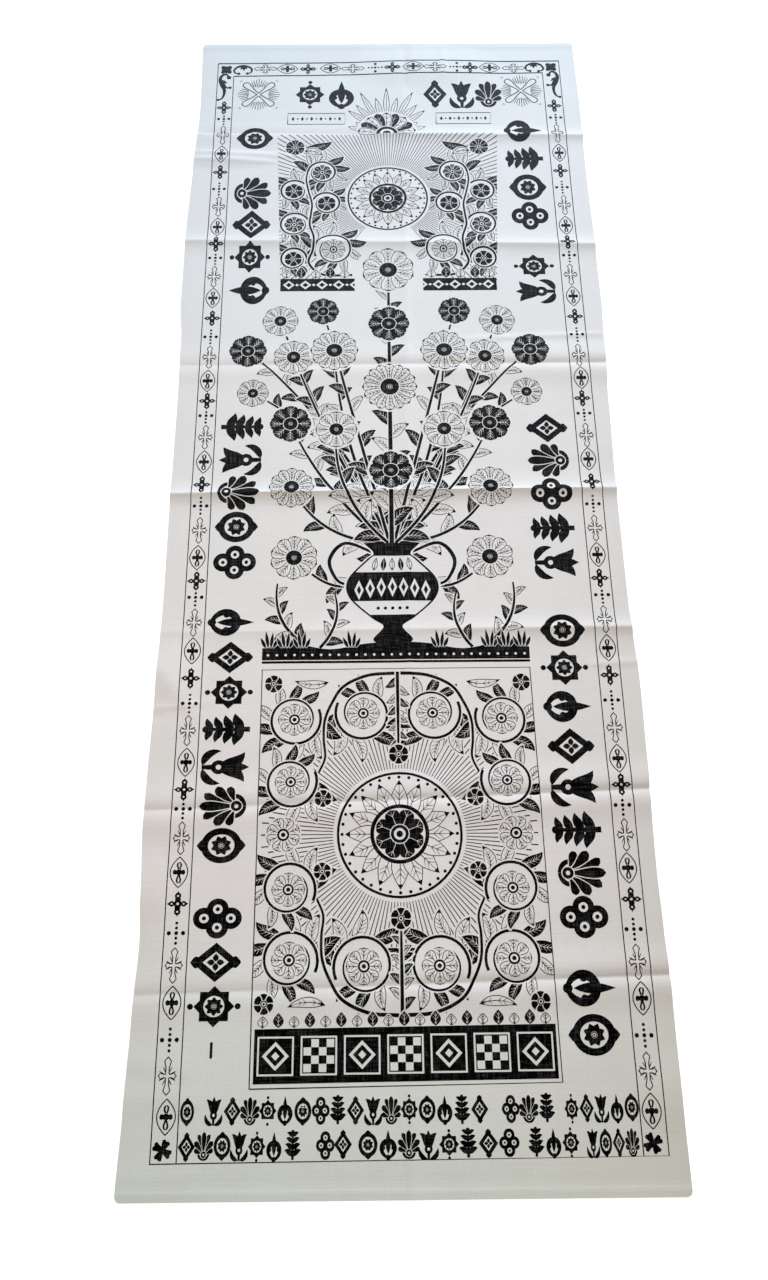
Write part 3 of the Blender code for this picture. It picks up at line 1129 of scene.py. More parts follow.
def ornament_stamps():
    stamps = []
    for middle, groups in ((LEFT_COLUMN, LEFT_GROUPS), (RIGHT_COLUMN, RIGHT_GROUPS)):
        for group in groups:
            gap = COLUMN_GAP if len(group.kinds) > 1 else 0.0
            stamps += group_stamps(group, middle, COLUMN_WIDTH, gap, False)
    for group in HEAD_GROUPS:
        stamps += group_stamps(group, HEAD_PLACE, COLUMN_WIDTH, COLUMN_GAP, True)
    return stamps


def foot_stamps():
    stamps = []
    for place, groups in ((UPPER_FOOT_PLACE, UPPER_FOOT_GROUPS), (LOWER_FOOT_PLACE, LOWER_FOOT_GROUPS)):
        for group in groups:
            stamps += group_stamps(group, place, FOOT_HEIGHT, FOOT_GAP, True)
    return stamps


def frame_lines(line):
    """The frame's outer line, its two inner side lines and the inner head line."""
    marks = loop(OUTER_FRAME, line) + stroke(INNER_FRAME, line)
    for head in (OUTER_FRAME[2:], INNER_FRAME[1:3]):
        marks += stroke(head, line * HEAD_LINE_GAIN)
    return marks


def label_boxes(line):
    """Two small framed boxes at the head, each with a running row of dots and lozenges."""
    marks = []
    for left, right in LABEL_SPANS:
        marks += loop([left + LABEL_LOW, right + LABEL_LOW, right + LABEL_HIGH, left + LABEL_HIGH], line)
        for n, x in enumerate(np.linspace(left + 9, right - 9, 11)):
            at = x + (LABEL_LOW + LABEL_HIGH) / 2
            marks += disc(at, 1.6, INK, 10) if n % 2 else lozenge(at, 2.6, 4.6)
    return marks


def corner_marks():
    """The top corners' leaf scrolls and rayed crosses, and the crosses at the foot corners."""
    marks = placed(corner_flourish(), at=-280.3 + 1739.5j)
    marks += placed(corner_flourish(), at=284.5 + 1742.5j, flip=True)
    marks += placed(rayed_cross(), at=-222.5 + 1681j) + placed(rayed_cross(), at=229 + 1687j)
    marks += placed(flared_cross(), at=-276 + 53j, angle=-28)
    return marks + placed(flared_cross(), at=286 + 55j, angle=28)


# Painted light and shade multiplied over the cotton: a cool painted light towards its head, painted light of
# other hues at the left and the right of its foot, painted shade along its two long edges, and a bright
# bluish painted light in the middle of its lower half.
WHITE = (1.0, 1.0, 1.0, 1.0)
HEAD_PAINTED_LIGHT = (0.905, 1.0, 1.055, 1.0)
LEFT_FOOT_PAINTED_LIGHT = (0.888, 1.038, 0.99, 1.0)
RIGHT_FOOT_PAINTED_LIGHT = (0.976, 1.038, 0.956, 1.0)
LEFT_EDGE_PAINTED_SHADE = (0.95, 0.955, 0.96, 1.0)
RIGHT_EDGE_PAINTED_SHADE = (0.90, 0.90, 0.87, 1.0)
MIDDLE_PAINTED_LIGHT = (1.11, 1.13, 1.22, 1.0)
# The foot end's painted light fades out over the cloth's length divided by this.
FOOT_PAINTED_LIGHT_FADE = 5.5
# The two hues of the faint mottle, where each starts on its noise, and how fast it grows.
ROSY = (1.0, 0.965, 0.985)
GREENISH = (0.965, 0.985, 0.965)
ROSY_START = 0.47
GREEN_START = 0.50
MOTTLE_GAIN = 2.2
# The shade between the threads, and how much of it there is on the average.
THREAD_SHADE = (0.86, 0.86, 0.86)
MEAN_SHADE = 0.22
# Noises of the cotton and the ink: the scale, detail and roughness, then for some the
# stretch each way and the shift.
SLUB = (420.0, 2.0, 0.55, (0.02, 1.0, 1.0), (0.7, 0.2, 0.0))
ROSY_MOTTLE = (5.5, 3.0, 0.55)
GREEN_MOTTLE = (4.0, 2.0, 0.5, (1, 1, 1), (3.1, 1.7, 0.0))
CLOUD = (22.0, 3.0, 0.6, (1.0, 0.6, 1.0))
INK_PATCH = (38.0, 3.0, 0.6)
# The threads' noise: its detail and roughness, its scale along a thread as a share of that
# across, and the weft's shift.
THREAD_NOISE = (1.0, 0.5)
THREAD_STRETCH = 0.045
WEFT_SHIFT = (0.3, 0.1, 0.0)
# Threads higher than the start show through the ink, wholly so one step over it.
SPECK_START = 1.06
SPECK_STEP = 0.10
SPECK_COLOUR = (0.12, 0.12, 0.13, 1.0)
# The two greys of the surface under the cloth.
PALE_GREYS = ((0.93, 0.93, 0.93, 1.0), (0.90, 0.90, 0.90, 1.0))


class Board:
    """A node tree, and one way to add a node to it."""

    def __init__(self, tree):
        self.tree = tree

    def add(self, kind, settings=None, inputs=None, out=0):
        """A node with its settings made first, then its inputs, as values or links."""
        node = self.tree.nodes.new(kind)
        for name, value in (settings or {}).items():
            setattr(node, name, value)
        for name, value in (inputs or {}).items():
            if isinstance(value, Number):
                value = value.socket
            if isinstance(value, bpy.types.NodeSocket):
                self.tree.links.new(value, node.inputs[name])
            else:
                node.inputs[name].default_value = value
        return Number(self, node.outputs[out]) if len(node.outputs) else None


class Number:
    """A node's output. Arithmetic on it adds Math nodes."""

    def __init__(self, board, socket):
        self.board, self.socket = board, socket

    def math(self, operation, first, second, clamp=False):
        settings = {"operation": operation, "use_clamp": clamp}
        return self.board.add("ShaderNodeMath", settings, {0: first, 1: second})

    def __add__(self, other):
        return self.math("ADD", self, other)

    __radd__ = __add__

    def __sub__(self, other):
        return self.math("SUBTRACT", self, other)

    def __rsub__(self, other):
        return self.math("SUBTRACT", other, self)

    def __mul__(self, other):
        return self.math("MULTIPLY", self, other)

    __rmul__ = __mul__

    def __pow__(self, other):
        return self.math("POWER", self, other)

    def clamped(self):
        return self.math("ADD", self, 0.0, clamp=True)


def new_material(name):
    material = bpy.data.materials.new(name)
    material.use_nodes = True
    material.node_tree.nodes.clear()
    return material, Board(material.node_tree)


def finish_shader(board, **inputs):
    """The Principled shader with these inputs, and the material's output."""
    named = {name.replace("_", " "): value for name, value in inputs.items()}
    shader = board.add("ShaderNodeBsdfPrincipled", None, named)
    board.add("ShaderNodeOutputMaterial", None, {"Surface": shader})


def object_place(board):
    return board.add("ShaderNodeTexCoord", out="Object")


def noise(board, scale, detail=2.0, roughness=0.5, stretch=(1, 1, 1), shift=(0, 0, 0)):
    """A noise from 0 to 1 on the cloth, stretched by this much each way."""
    inputs = {"Vector": object_place(board), "Scale": stretch, "Location": shift}
    mapped = board.add("ShaderNodeMapping", None, inputs)
    inputs = {"Vector": mapped, "Scale": scale, "Detail": detail, "Roughness": roughness}
    return board.add("ShaderNodeTexNoise", {"noise_dimensions": "3D"}, inputs)


def share_of(board, length, axis):
    """0 to 1 along the cloth from its foot end, or across it from its left edge."""
    split = board.add("ShaderNodeSeparateXYZ", None, {"Vector": object_place(board)}, out=axis)
    return (split * (1.0 / length) + 0.5).clamped()


def along(board):
    return share_of(board, CLOTH_LENGTH, 1)


def across(board):
    return share_of(board, CLOTH_WIDTH, 0)


def mixed(board, share, first, second, blend="MIX"):
    """A colour between two others, or the first blended with the second."""
    settings = {"data_type": "RGBA", "clamp_factor": True, "blend_type": blend}
    return board.add("ShaderNodeMix", settings, {0: share, 6: first, 7: second}, out=2)


def threads(board, pitch):
    """Heights of the warp and the weft, as uneven rows of long threads."""
    warp = noise(board, 1.0 / pitch, *THREAD_NOISE, (1.0, THREAD_STRETCH, 1.0))
    weft = noise(board, 1.0 / pitch, *THREAD_NOISE, (THREAD_STRETCH, 1.0, 1.0), WEFT_SHIFT)
    return warp, weft


def thread_bump(board, height, strength, pitch):
    inputs = {"Height": height, "Strength": strength, "Distance": pitch * 0.25}
    return board.add("ShaderNodeBump", None, inputs)


def solid_colour(colour, shade=(1.0, 1.0, 1.0)):
    """A setting's colour times a shade, with an alpha of 1."""
    return tuple(value * factor for value, factor in zip(colour, shade)) + (1.0,)


def cotton_material(look):
    """Thin plain-woven cotton: uneven threads, thicker weft lines and a faint mottle, under painted light and
    shade.
    """
    material, board = new_material("white_cotton")
    warp, weft = threads(board, look.thread_pitch)
    slub, cloud = noise(board, *SLUB), noise(board, *CLOUD)
    rosy = (noise(board, *ROSY_MOTTLE) - ROSY_START) * MOTTLE_GAIN
    green = (noise(board, *GREEN_MOTTLE) - GREEN_START) * MOTTLE_GAIN
    cotton = look.cotton_colour
    colour = mixed(board, rosy, solid_colour(cotton), solid_colour(cotton, ROSY))
    colour = mixed(board, green, colour, solid_colour(cotton, GREENISH))
    # Painted light and shade over the cotton's own colour, by place on the cloth.
    up, over = along(board), across(board)
    foot = mixed(board, over, LEFT_FOOT_PAINTED_LIGHT, RIGHT_FOOT_PAINTED_LIGHT)
    head_foot_painted_light = mixed(board, 1.0 - up * FOOT_PAINTED_LIGHT_FADE, mixed(board, up**2.0, WHITE, HEAD_PAINTED_LIGHT), foot)
    # Painted shade: darker along the right edge towards the foot, and along the left edge towards the head.
    right = mixed(board, over**6.0 * (1.0 - up), WHITE, RIGHT_EDGE_PAINTED_SHADE)
    left = mixed(board, (1.0 - over) ** 4.0 * (up * 3.0 - 1.0).clamped(), WHITE, LEFT_EDGE_PAINTED_SHADE)
    # Painted light: brighter and bluer in the middle of the lower half.
    inner = over * (1.0 - over) * 4.0 * (1.0 - up) ** 3.0 * (up * 8.0).clamped()
    for hue in (head_foot_painted_light, right, left, mixed(board, inner, WHITE, MIDDLE_PAINTED_LIGHT)):
        colour = mixed(board, 1.0, colour, hue, "MULTIPLY")
    grain = (warp - 0.5) * 0.5 + (weft - 0.5) * 0.6 + (slub - 0.5) * 0.4 + (cloud - 0.5) * 0.5
    shade = grain * look.thread_contrast + MEAN_SHADE
    colour = mixed(board, shade, colour, solid_colour(cotton, THREAD_SHADE))
    finish_shader(
        board,
        Base_Color=colour,
        Roughness=0.86 + (weft - 0.5) * 0.12,
        Metallic=0.0,
        Specular_IOR_Level=0.28,
        Sheen_Weight=0.18,
        Sheen_Roughness=0.55,
        Normal=thread_bump(board, warp + weft + (slub - 0.5) * 0.8, 0.35, look.thread_pitch),
    )
    return material


def ink_material(look, thread_pitch):
    """Matt black print. The tops of the threads show through it as grey specks, and towards the head it has a
    painted sheen.
    """
    material, board = new_material("black_print")
    warp, weft = threads(board, thread_pitch)
    patch = noise(board, *INK_PATCH)
    height = warp + weft + (patch - 0.5) * 0.35
    specks = ((height - SPECK_START) * (1.0 / SPECK_STEP)).clamped()
    # Painted sheen: the ink is painted lighter and bluer towards the head, and its grey specks grow stronger
    # that way too.
    up = along(board)
    ink = mixed(board, up**3.0, solid_colour(look.ink_colour), solid_colour(look.head_ink_painted_sheen))
    finish_shader(
        board,
        Base_Color=mixed(board, specks * (look.speck_share * (0.7 + up * 0.6)), ink, SPECK_COLOUR),
        Roughness=0.74 + (patch - 0.5) * 0.2,
        Metallic=0.0,
        Specular_IOR_Level=0.02,
        Normal=thread_bump(board, warp + weft, 0.3, thread_pitch),
    )
    return material


def surface_material(look):
    """The plain pale surface under the cloth."""
    material, board = new_material("pale_surface")
    finish_shader(
        board,
        Base_Color=mixed(board, noise(board, 3.0), *PALE_GREYS),
        Roughness=0.9,
        Specular_IOR_Level=0.1,
        Emission_Color=WHITE,
        Emission_Strength=look.surface_glow,
    )
    return material


def material_of(context, name):
    """The named material, made the first time it is asked for."""
    found = bpy.data.materials.get(name + "_look")
    if found is None:
        scene = context.scene
        if name == "white_cotton":
            found = cotton_material(scene.shroud_cloth_look)
        else:
            found = ink_material(scene.shroud_print_look, scene.shroud_cloth_look.thread_pitch)
        found.name = name + "_look"
    return found


# Edges that bend more than this are drawn sharp.
SHARP_ANGLE = math.radians(50)


def link_piece(context, name, mesh, slot):
    """A finished piece at the origin, on the cloth's body, with its finish."""
    mesh.materials.append(material_of(context, slot))
    mesh.shade_smooth()
    mesh.set_sharp_from_angle(angle=SHARP_ANGLE)
    piece = bpy.data.objects.new(name, mesh)
    context.scene.collection.objects.link(piece)
    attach(piece, "root")
    return piece


def surface_of(context):
    return Surface(context.scene.shroud_cloth_look.ripple_height)


def corner_points(mesh):
    """The number of the point at each face corner."""
    corner = np.empty(len(mesh.loops), dtype=np.int32)
    mesh.loops.foreach_get("vertex_index", corner)
    return corner


def add_map(mesh, places):
    """The OFBake map, from a place for each face corner."""
    layer = mesh.uv_layers.new(name="OFBake")
    layer.data.foreach_set("uv", places.astype(np.float32).ravel())


# The sheet's map: its face is this rectangle on the left half, its underside is the same on
# the right half, and the rim is a border this narrow round the face. A rim point moves out
# across each side that it is near, from this share of the way to that side.
MAP_LOW = np.array([0.02, 0.01])
MAP_SIZE = np.array([0.44, 0.98])
MAP_MIDDLE = np.array([0.24, 0.5])
UNDERSIDE_SHIFT = 0.5
RIM_BORDER = 0.004
RIM_NEAR = (0.97, 0.99)


def sheet_mesh(surface, thickness):
    """A closed sheet: its face, its underside and the rim between, each with room on the map."""
    rows, columns = surface.x.shape
    y = surface.place - CLOTH_LENGTH / 2
    face = np.stack([surface.x, y, surface.height + thickness], axis=-1).reshape(-1, 3)
    under = np.stack([surface.x, y, surface.height], axis=-1).reshape(-1, 3)
    number = np.arange(rows * columns).reshape(rows, columns)
    a, b = number[:-1, :-1].ravel(), number[:-1, 1:].ravel()
    c, d = number[1:, 1:].ravel(), number[1:, :-1].ravel()
    below = number.size
    edge = np.concatenate([number[0, :-1], number[:-1, -1], number[-1, :0:-1], number[:0:-1, 0]])
    after = np.roll(edge, -1)
    quads = np.concatenate([
        np.stack([a, b, c, d], axis=1),
        np.stack([d, c, b, a], axis=1) + below,
        np.stack([edge + below, after + below, after, edge], axis=1),
    ])
    mesh = bpy.data.meshes.new("cotton_sheet")
    mesh.from_pydata(np.concatenate([face, under]).tolist(), [], quads.tolist())
    map_sheet(mesh, surface, 4 * len(a))
    return mesh


def map_sheet(mesh, surface, face_corners):
    share = np.stack([surface.x + CLOTH_WIDTH / 2, surface.place], axis=-1) / (CLOTH_WIDTH, CLOTH_LENGTH)
    corner = corner_points(mesh)
    flat = (MAP_LOW + MAP_SIZE * share).reshape(-1, 2)
    places = flat[corner % len(flat)]
    places[face_corners:2 * face_corners, 0] += UNDERSIDE_SHIFT
    rim = places[2 * face_corners:]
    out = corner[2 * face_corners:] >= len(flat)
    push = np.sign(rim - MAP_MIDDLE) * RIM_BORDER
    push[abs(rim - MAP_MIDDLE) < MAP_SIZE / 2 * RIM_NEAR] = 0.0
    rim[out] += push[out]
    add_map(mesh, places)


# Flat areas below this many square millimetres are dropped, and points this close are one.
SLIVER = 1e-4
JOIN_WITHIN = 1e-3
# A print is cut along the sheet's columns in straight steps about this long.
CUT_STEP = 50.0
# The room left free at each side of a print's map.
PRINT_MAP_EDGE = 0.01


def within(points, outline):
    """Which of the points lie inside a closed line."""
    x, y = points.real[:, None], points.imag[:, None]
    start, end = outline[None, :], np.roll(outline, -1)[None, :]
    crossed = (start.imag > y) != (end.imag > y)
    rise = np.where(start.imag == end.imag, 1.0, end.imag - start.imag)
    meets = start.real + (end.real - start.real) * (y - start.imag) / rise
    return (crossed & (x < meets)).sum(axis=1) % 2 == 1


def inked_of(middles, marks):
    """Which of the points are inked, once the marks are drawn in their order."""
    order = np.argsort(middles.imag)
    heights = middles.imag[order]
    inked = np.zeros(len(middles), bool)
    for mark in marks:
        first, last = np.searchsorted(heights, (mark.outline.imag.min(), mark.outline.imag.max()))
        near = order[first:last]
        across = middles.real[near]
        near = near[(across > mark.outline.real.min()) & (across < mark.outline.real.max())]
        if len(near):
            inked[near[within(middles[near], mark.outline)]] = mark.ink
    return inked


def triangles_between(corners, lines, marks):
    """Triangles between the lines, kept where the marks leave ink."""
    points = [Vector((z.real, z.imag)) for z in corners]
    found, _, faces, *_ = delaunay_2d_cdt(points, lines, [], 0, JOIN_WITHIN, False)
    flat = np.array([complex(*point) for point in found])
    faces = np.array(faces)
    sides = flat[faces]
    area = (np.conj(sides[:, 1] - sides[:, 0]) * (sides[:, 2] - sides[:, 0])).imag / 2
    faces = faces[inked_of(sides.mean(axis=1), marks) & (abs(area) > SLIVER)]
    used, faces = np.unique(faces, return_inverse=True)
    return flat[used], faces.reshape(-1, 3)


def flat_shapes(marks, cuts=()):
    """The inked ground of the marks as triangles: bare marks take away what lies below them.
    The outlines that overlap are joined first, so that only the edge of the ink is left."""
    corners, lines = [], []
    for mark in marks:
        numbers = list(range(len(corners), len(corners) + len(mark.outline)))
        corners += list(mark.outline)
        lines += list(zip(numbers, numbers[1:] + numbers[:1]))
    flat, faces = triangles_between(corners, lines, marks)
    sides = np.sort(faces[:, [[0, 1], [1, 2], [2, 0]]].reshape(-1, 2), axis=1)
    sides, uses = np.unique(sides, axis=0, return_counts=True)
    kept, edge = np.unique(sides[uses == 1], return_inverse=True)
    corners = list(flat[kept])
    lines = edge.reshape(-1, 2).tolist()
    for cut in cuts:
        lines.append((len(corners), len(corners) + 1))
        corners += cut
    flat, faces = triangles_between(corners, lines, marks)
    return flat, faces.tolist()


def fold_cuts(surface, marks):
    """Lines to cut a print along, so that it bends where the sheet's grid does."""
    every = np.concatenate([mark.outline for mark in marks if mark.ink])
    left, right = every.real.min() - 1, every.real.max() + 1
    low, high = every.imag.min() - 1, every.imag.max() + 1
    cuts = []
    for row in surface.rows:
        slope = float(row_skew(row)) / CLOTH_WIDTH
        start = complex(left, row / MM + slope * left)
        end = complex(right, row / MM + slope * right)
        if low < start.imag < high or low < end.imag < high:
            cuts.append((start, end))
    places = np.linspace(low, high, 1 + math.ceil((high - low) / CUT_STEP))
    for share in surface.shares:
        column = surface.column_x(share, places * MM) / MM + 1j * places
        if left < column.real.max() and column.real.min() < right:
            cuts += list(zip(column, column[1:]))
    return cuts


def print_piece(context, name, marks):
    """Ink laid on the folds of the sheet."""
    surface = surface_of(context)
    cloth_look, look = context.scene.shroud_cloth_look, context.scene.shroud_print_look
    flat, faces = flat_shapes(marks, fold_cuts(surface, marks))
    x, place = flat.real * MM, flat.imag * MM
    z = surface.height_at(x, place) + cloth_look.thickness + look.ink_height
    points = np.stack([x, place - CLOTH_LENGTH / 2, z], axis=1)
    mesh = bpy.data.meshes.new(name)
    mesh.from_pydata(points.tolist(), [], faces)
    low, high = points[:, :2].min(axis=0), points[:, :2].max(axis=0)
    inner = 1 - 2 * PRINT_MAP_EDGE
    add_map(mesh, PRINT_MAP_EDGE + inner * (points[corner_points(mesh), :2] - low) / (high - low))
    return link_piece(context, name, mesh, "black_print")


# The stamp tree's inputs, and the points' own columns that it reads.
STAMP_INPUTS = (
    ("Points", "NodeSocketGeometry"),
    ("Motifs", "NodeSocketCollection"),
    ("Wander", "NodeSocketFloat"),
    ("Seed", "NodeSocketInt"),
    ("Ink", "NodeSocketMaterial"),
)
STAMP_COLUMNS = {"kind": "INT", "turn": "FLOAT", "stretch": "FLOAT_VECTOR"}


def stamp_tree():
    """Geometry nodes that stamp a motif on each point, by the point's kind, turn and stretch."""
    tree = bpy.data.node_groups.new("stamp_motifs", "GeometryNodeTree")
    tree.is_modifier = True
    for name, kind in STAMP_INPUTS:
        tree.interface.new_socket(name, in_out="INPUT", socket_type=kind)
    tree.interface.new_socket("Stamps", in_out="OUTPUT", socket_type="NodeSocketGeometry")
    board = Board(tree)
    given = tree.nodes.new("NodeGroupInput").outputs
    inputs = {"Collection": given["Motifs"], "Separate Children": True, "Reset Children": True}
    motifs = board.add("GeometryNodeCollectionInfo", None, inputs)
    wander = board.add("ShaderNodeCombineXYZ", None, {"X": given["Wander"], "Y": given["Wander"]})
    back = board.add("ShaderNodeVectorMath", {"operation": "SCALE"}, {0: wander, "Scale": -1.0})
    inputs = {0: back, 1: wander, "Seed": given["Seed"]}
    nudge = board.add("FunctionNodeRandomValue", {"data_type": "FLOAT_VECTOR"}, inputs)
    moved = board.add("GeometryNodeSetPosition", None, {"Geometry": given["Points"], "Offset": nudge})
    kind, turn, stretch = (
        board.add("GeometryNodeInputNamedAttribute", {"data_type": form}, {"Name": column})
        for column, form in STAMP_COLUMNS.items()
    )
    facing = board.add("ShaderNodeCombineXYZ", None, {"Z": turn})
    inputs = {"Points": moved, "Instance": motifs, "Pick Instance": True, "Instance Index": kind}
    inputs |= {"Rotation": facing, "Scale": stretch}
    stamped = board.add("GeometryNodeInstanceOnPoints", None, inputs)
    solid = board.add("GeometryNodeRealizeInstances", None, {"Geometry": stamped})
    inked = board.add("GeometryNodeSetMaterial", None, {"Geometry": solid, "Material": given["Ink"]})
    board.add("NodeGroupOutput", None, {"Stamps": inked})
    return tree


def motif_collection(name, makers):
    """The motifs as flat meshes in a collection, in the makers' order."""
    motifs = bpy.data.collections.new(name + "_motifs")
    for n, make in enumerate(makers):
        flat, faces = flat_shapes(make())
        mesh = bpy.data.meshes.new(name)
        mesh.from_pydata([(z.real, z.imag, 0.0) for z in flat], [], faces)
        motifs.objects.link(bpy.data.objects.new(f"{name}_motif_{n:02d}", mesh))
    return motifs


def stamp_points(name, stamps):
    """A point for each stamp, with its kind, its turn and its stretch."""
    mesh = bpy.data.meshes.new(name)
    mesh.from_pydata([(stamp.at.real, stamp.at.imag, 0.0) for stamp in stamps], [], [])
    values = {
        "kind": [stamp.kind for stamp in stamps],
        "turn": [math.radians(stamp.turn) for stamp in stamps],
        "stretch": [size for stamp in stamps for size in (stamp.across, stamp.along, 1.0)],
    }
    for column, form in STAMP_COLUMNS.items():
        field = "vector" if form == "FLOAT_VECTOR" else "value"
        mesh.attributes.new(column, form, "POINT").data.foreach_set(field, values[column])
    return bpy.data.objects.new(name, mesh)


def stamped_marks(context, name, stamps, makers):
    """The motifs stamped by Geometry Nodes, as flat inked marks."""
    look = context.scene.shroud_print_look
    motifs = motif_collection(name, makers)
    points = stamp_points(name, stamps)
    context.scene.collection.objects.link(points)
    modifier = points.modifiers.new("stamps", "NODES")
    tree = bpy.data.node_groups.get("stamp_motifs") or stamp_tree()
    modifier.node_group = tree
    sockets = {item.name: item.identifier for item in tree.interface.items_tree}
    modifier[sockets["Motifs"]] = motifs
    modifier[sockets["Wander"]] = look.wander
    modifier[sockets["Seed"]] = look.seed
    modifier[sockets["Ink"]] = material_of(context, "black_print")
    made = bpy.data.meshes.new_from_object(points.evaluated_get(context.evaluated_depsgraph_get()))
    flat = np.array([complex(v.co.x, v.co.y) for v in made.vertices])
    marks = [Mark(flat[list(face.vertices)], INK) for face in made.polygons]
    for used in (points, *motifs.objects):
        bpy.data.objects.remove(used, do_unlink=True)
    bpy.data.collections.remove(motifs)
    if not marks:
        raise RuntimeError(f"the stamp tree gave no motifs for {name}")
    return marks


def length_setting(name, description, default, low, high):
    return FloatProperty(
        name=name, description=description, default=default, min=low, max=high, unit="LENGTH", precision=5
    )


def number_setting(name, description, default, low, high):
    return FloatProperty(name=name, description=description, default=default, min=low, max=high)


def power_setting(name, description, default):
    return FloatProperty(name=name, description=description, default=default, min=0.0, unit="POWER")


def colour_setting(name, description, default):
    return FloatVectorProperty(
        name=name, description=description, default=default, min=0.0, max=1.0, subtype="COLOR"
    )


class ShroudClothLook(bpy.types.PropertyGroup):
    thickness: length_setting("Cloth thickness", "Thickness of the cotton", 0.0008, 0.0003, 0.0015)
    ripple_height: length_setting("Ripple height", "Height of the gentle swell", 0.0008, 0.0, 0.002)
    thread_pitch: length_setting("Thread pitch", "Distance between threads", 0.0011, 0.0003, 0.004)
    thread_contrast: number_setting("Thread contrast", "Shade between threads", 1.0, 0.0, 3.0)
    cotton_colour: colour_setting("Cotton colour", "Colour of the bare cotton", (0.820, 0.797, 0.824))


class ShroudPrintLook(bpy.types.PropertyGroup):
    ink_height: length_setting("Ink height", "Height of the print over the cloth", 0.00014, 0.00005, 0.001)
    line_width: number_setting("Frame line", "Width of the frame lines, in millimetres", 1.3, 0.4, 4.0)
    ink_colour: colour_setting("Ink colour", "Colour of the ink at the foot end", (0.0008, 0.0008, 0.0010))
    # Painted sheen: the ink's lighter, bluer colour at the head end.
    head_ink_painted_sheen: colour_setting(
        "Head ink colour", "Colour of the ink at the head end", (0.046, 0.054, 0.066)
    )
    speck_share: number_setting("Speck strength", "How much the threads show through", 0.30, 0.0, 1.0)
    wander: number_setting("Wander", "How far a motif strays, in millimetres", 0.8, 0.0, 5.0)
    seed: IntProperty(name="Seed", description="Seed of the motifs' wander", default=7, min=0)


class ShroudStageLook(bpy.types.PropertyGroup):
    lens: number_setting("Lens", "Focal length of the camera, in millimetres", 28.34, 10.0, 200.0)
    key_power: power_setting("Low light", "Power of the low light beyond the head end", 180.0)
    head_power: power_setting("Head light", "Power of the cool light high over the head end", 14.7)
    fill_power: power_setting("Fill light", "Power of the wide light overhead", 37.2)
    surface_glow: number_setting("Surface glow", "How much the surface shines by itself", 0.6, 0.0, 10.0)


class SHROUD_OT_lay_cloth(bpy.types.Operator):
    """Lay the cotton sheet on its folds"""

    bl_idname = "shroud.lay_cloth"
    bl_label = "Lay Cloth"

    def execute(self, context):
        mesh = sheet_mesh(surface_of(context), context.scene.shroud_cloth_look.thickness)
        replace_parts(link_piece(context, "cotton_sheet", mesh, "white_cotton"), "shroud_cloth")
        return {"FINISHED"}


class SHROUD_OT_print_border(bpy.types.Operator):
    """Print the narrow border: its frame lines, corners and running motifs"""

    bl_idname = "shroud.print_border"
    bl_label = "Print Border"

    def execute(self, context):
        line = context.scene.shroud_print_look.line_width
        marks = stamped_marks(context, "border_run", border_stamps(), BORDER_MOTIFS)
        print_piece(context, "border_run", marks)
        print_piece(context, "border_frame", frame_lines(line) + corner_marks())
        return {"FINISHED"}


class SHROUD_OT_print_ornaments(bpy.types.Operator):
    """Print the bold ornaments beside, over and under the panels"""

    bl_idname = "shroud.print_ornaments"
    bl_label = "Print Ornaments"

    def execute(self, context):
        labels = label_boxes(context.scene.shroud_print_look.line_width)
        for name, stamps, others in (
            ("column_ornaments", ornament_stamps(), labels),
            ("foot_ornaments", foot_stamps(), []),
        ):
            print_piece(context, name, stamped_marks(context, name, stamps, ORNAMENTS) + others)
        return {"FINISHED"}


class SHROUD_OT_print_top_panel(bpy.types.Operator):
    """Print the top panel: a sun flower over rays between leafy vines, with a half flower over it"""

    bl_idname = "shroud.print_top_panel"
    bl_label = "Print Top Panel"

    def execute(self, context):
        print_piece(context, "top_panel", top_panel())
        return {"FINISHED"}


class SHROUD_OT_print_middle_panel(bpy.types.Operator):
    """Print the middle panel: a vase with a wide bunch of flowers on a strip of ground"""

    bl_idname = "shroud.print_middle_panel"
    bl_label = "Print Middle Panel"

    def execute(self, context):
        print_piece(context, "middle_panel", middle_panel())
        return {"FINISHED"}


class SHROUD_OT_print_bottom_panel(bpy.types.Operator):
    """Print the bottom panel: a rayed rosette between leafy vines over a row of lozenges"""

    bl_idname = "shroud.print_bottom_panel"
    bl_label = "Print Bottom Panel"

    def execute(self, context):
        print_piece(context, "bottom_panel", bottom_panel())
        return {"FINISHED"}


# The camera stands over the foot end. Places and sizes are in metres, angles in degrees,
# and the sensor's height is in millimetres, like the lens.
CAMERA_PLACE = (-0.0245, -0.7165, 1.2846)
CAMERA_ANGLES = (20.952, -0.147, -0.546)
SENSOR_HEIGHT = 36.0
SURFACE_SIZE = 14.0
SURFACE_DROP = 0.0002
WORLD_COLOUR = (0.97, 0.985, 1.0, 1.0)
WORLD_STRENGTH = 0.02
Lamp = namedtuple("Lamp", "name power place target size colour")
LAMPS = (
    Lamp("low_light", "key_power", (1.9, 3.6, 1.35), (0.0, 0.3, 0.0), (2.2, 0.9), (0.82, 0.90, 0.95)),
    Lamp("head_light", "head_power", (-0.2, 1.5, 2.1), (0.0, 0.5, 0.0), (2.0, 1.2), (0.08, 0.52, 1.0)),
    Lamp("fill_light", "fill_power", (-0.22, 0.05, 2.1), (0.0, 0.05, 0.0), (1.8, 1.8), (1.0, 0.85, 0.645)),
)


class SHROUD_OT_set_stage(bpy.types.Operator):
    """Set the pale surface, the soft lights and the camera over the foot end"""

    bl_idname = "shroud.set_stage"
    bl_label = "Set Stage"

    def execute(self, context):
        look = context.scene.shroud_stage_look
        lay_surface(context, look)
        for lamp in LAMPS:
            add_area(context, lamp, getattr(look, lamp.power))
        add_camera(context, look.lens)
        add_world(context.scene)
        context.scene.view_settings.view_transform = "Standard"
        return {"FINISHED"}


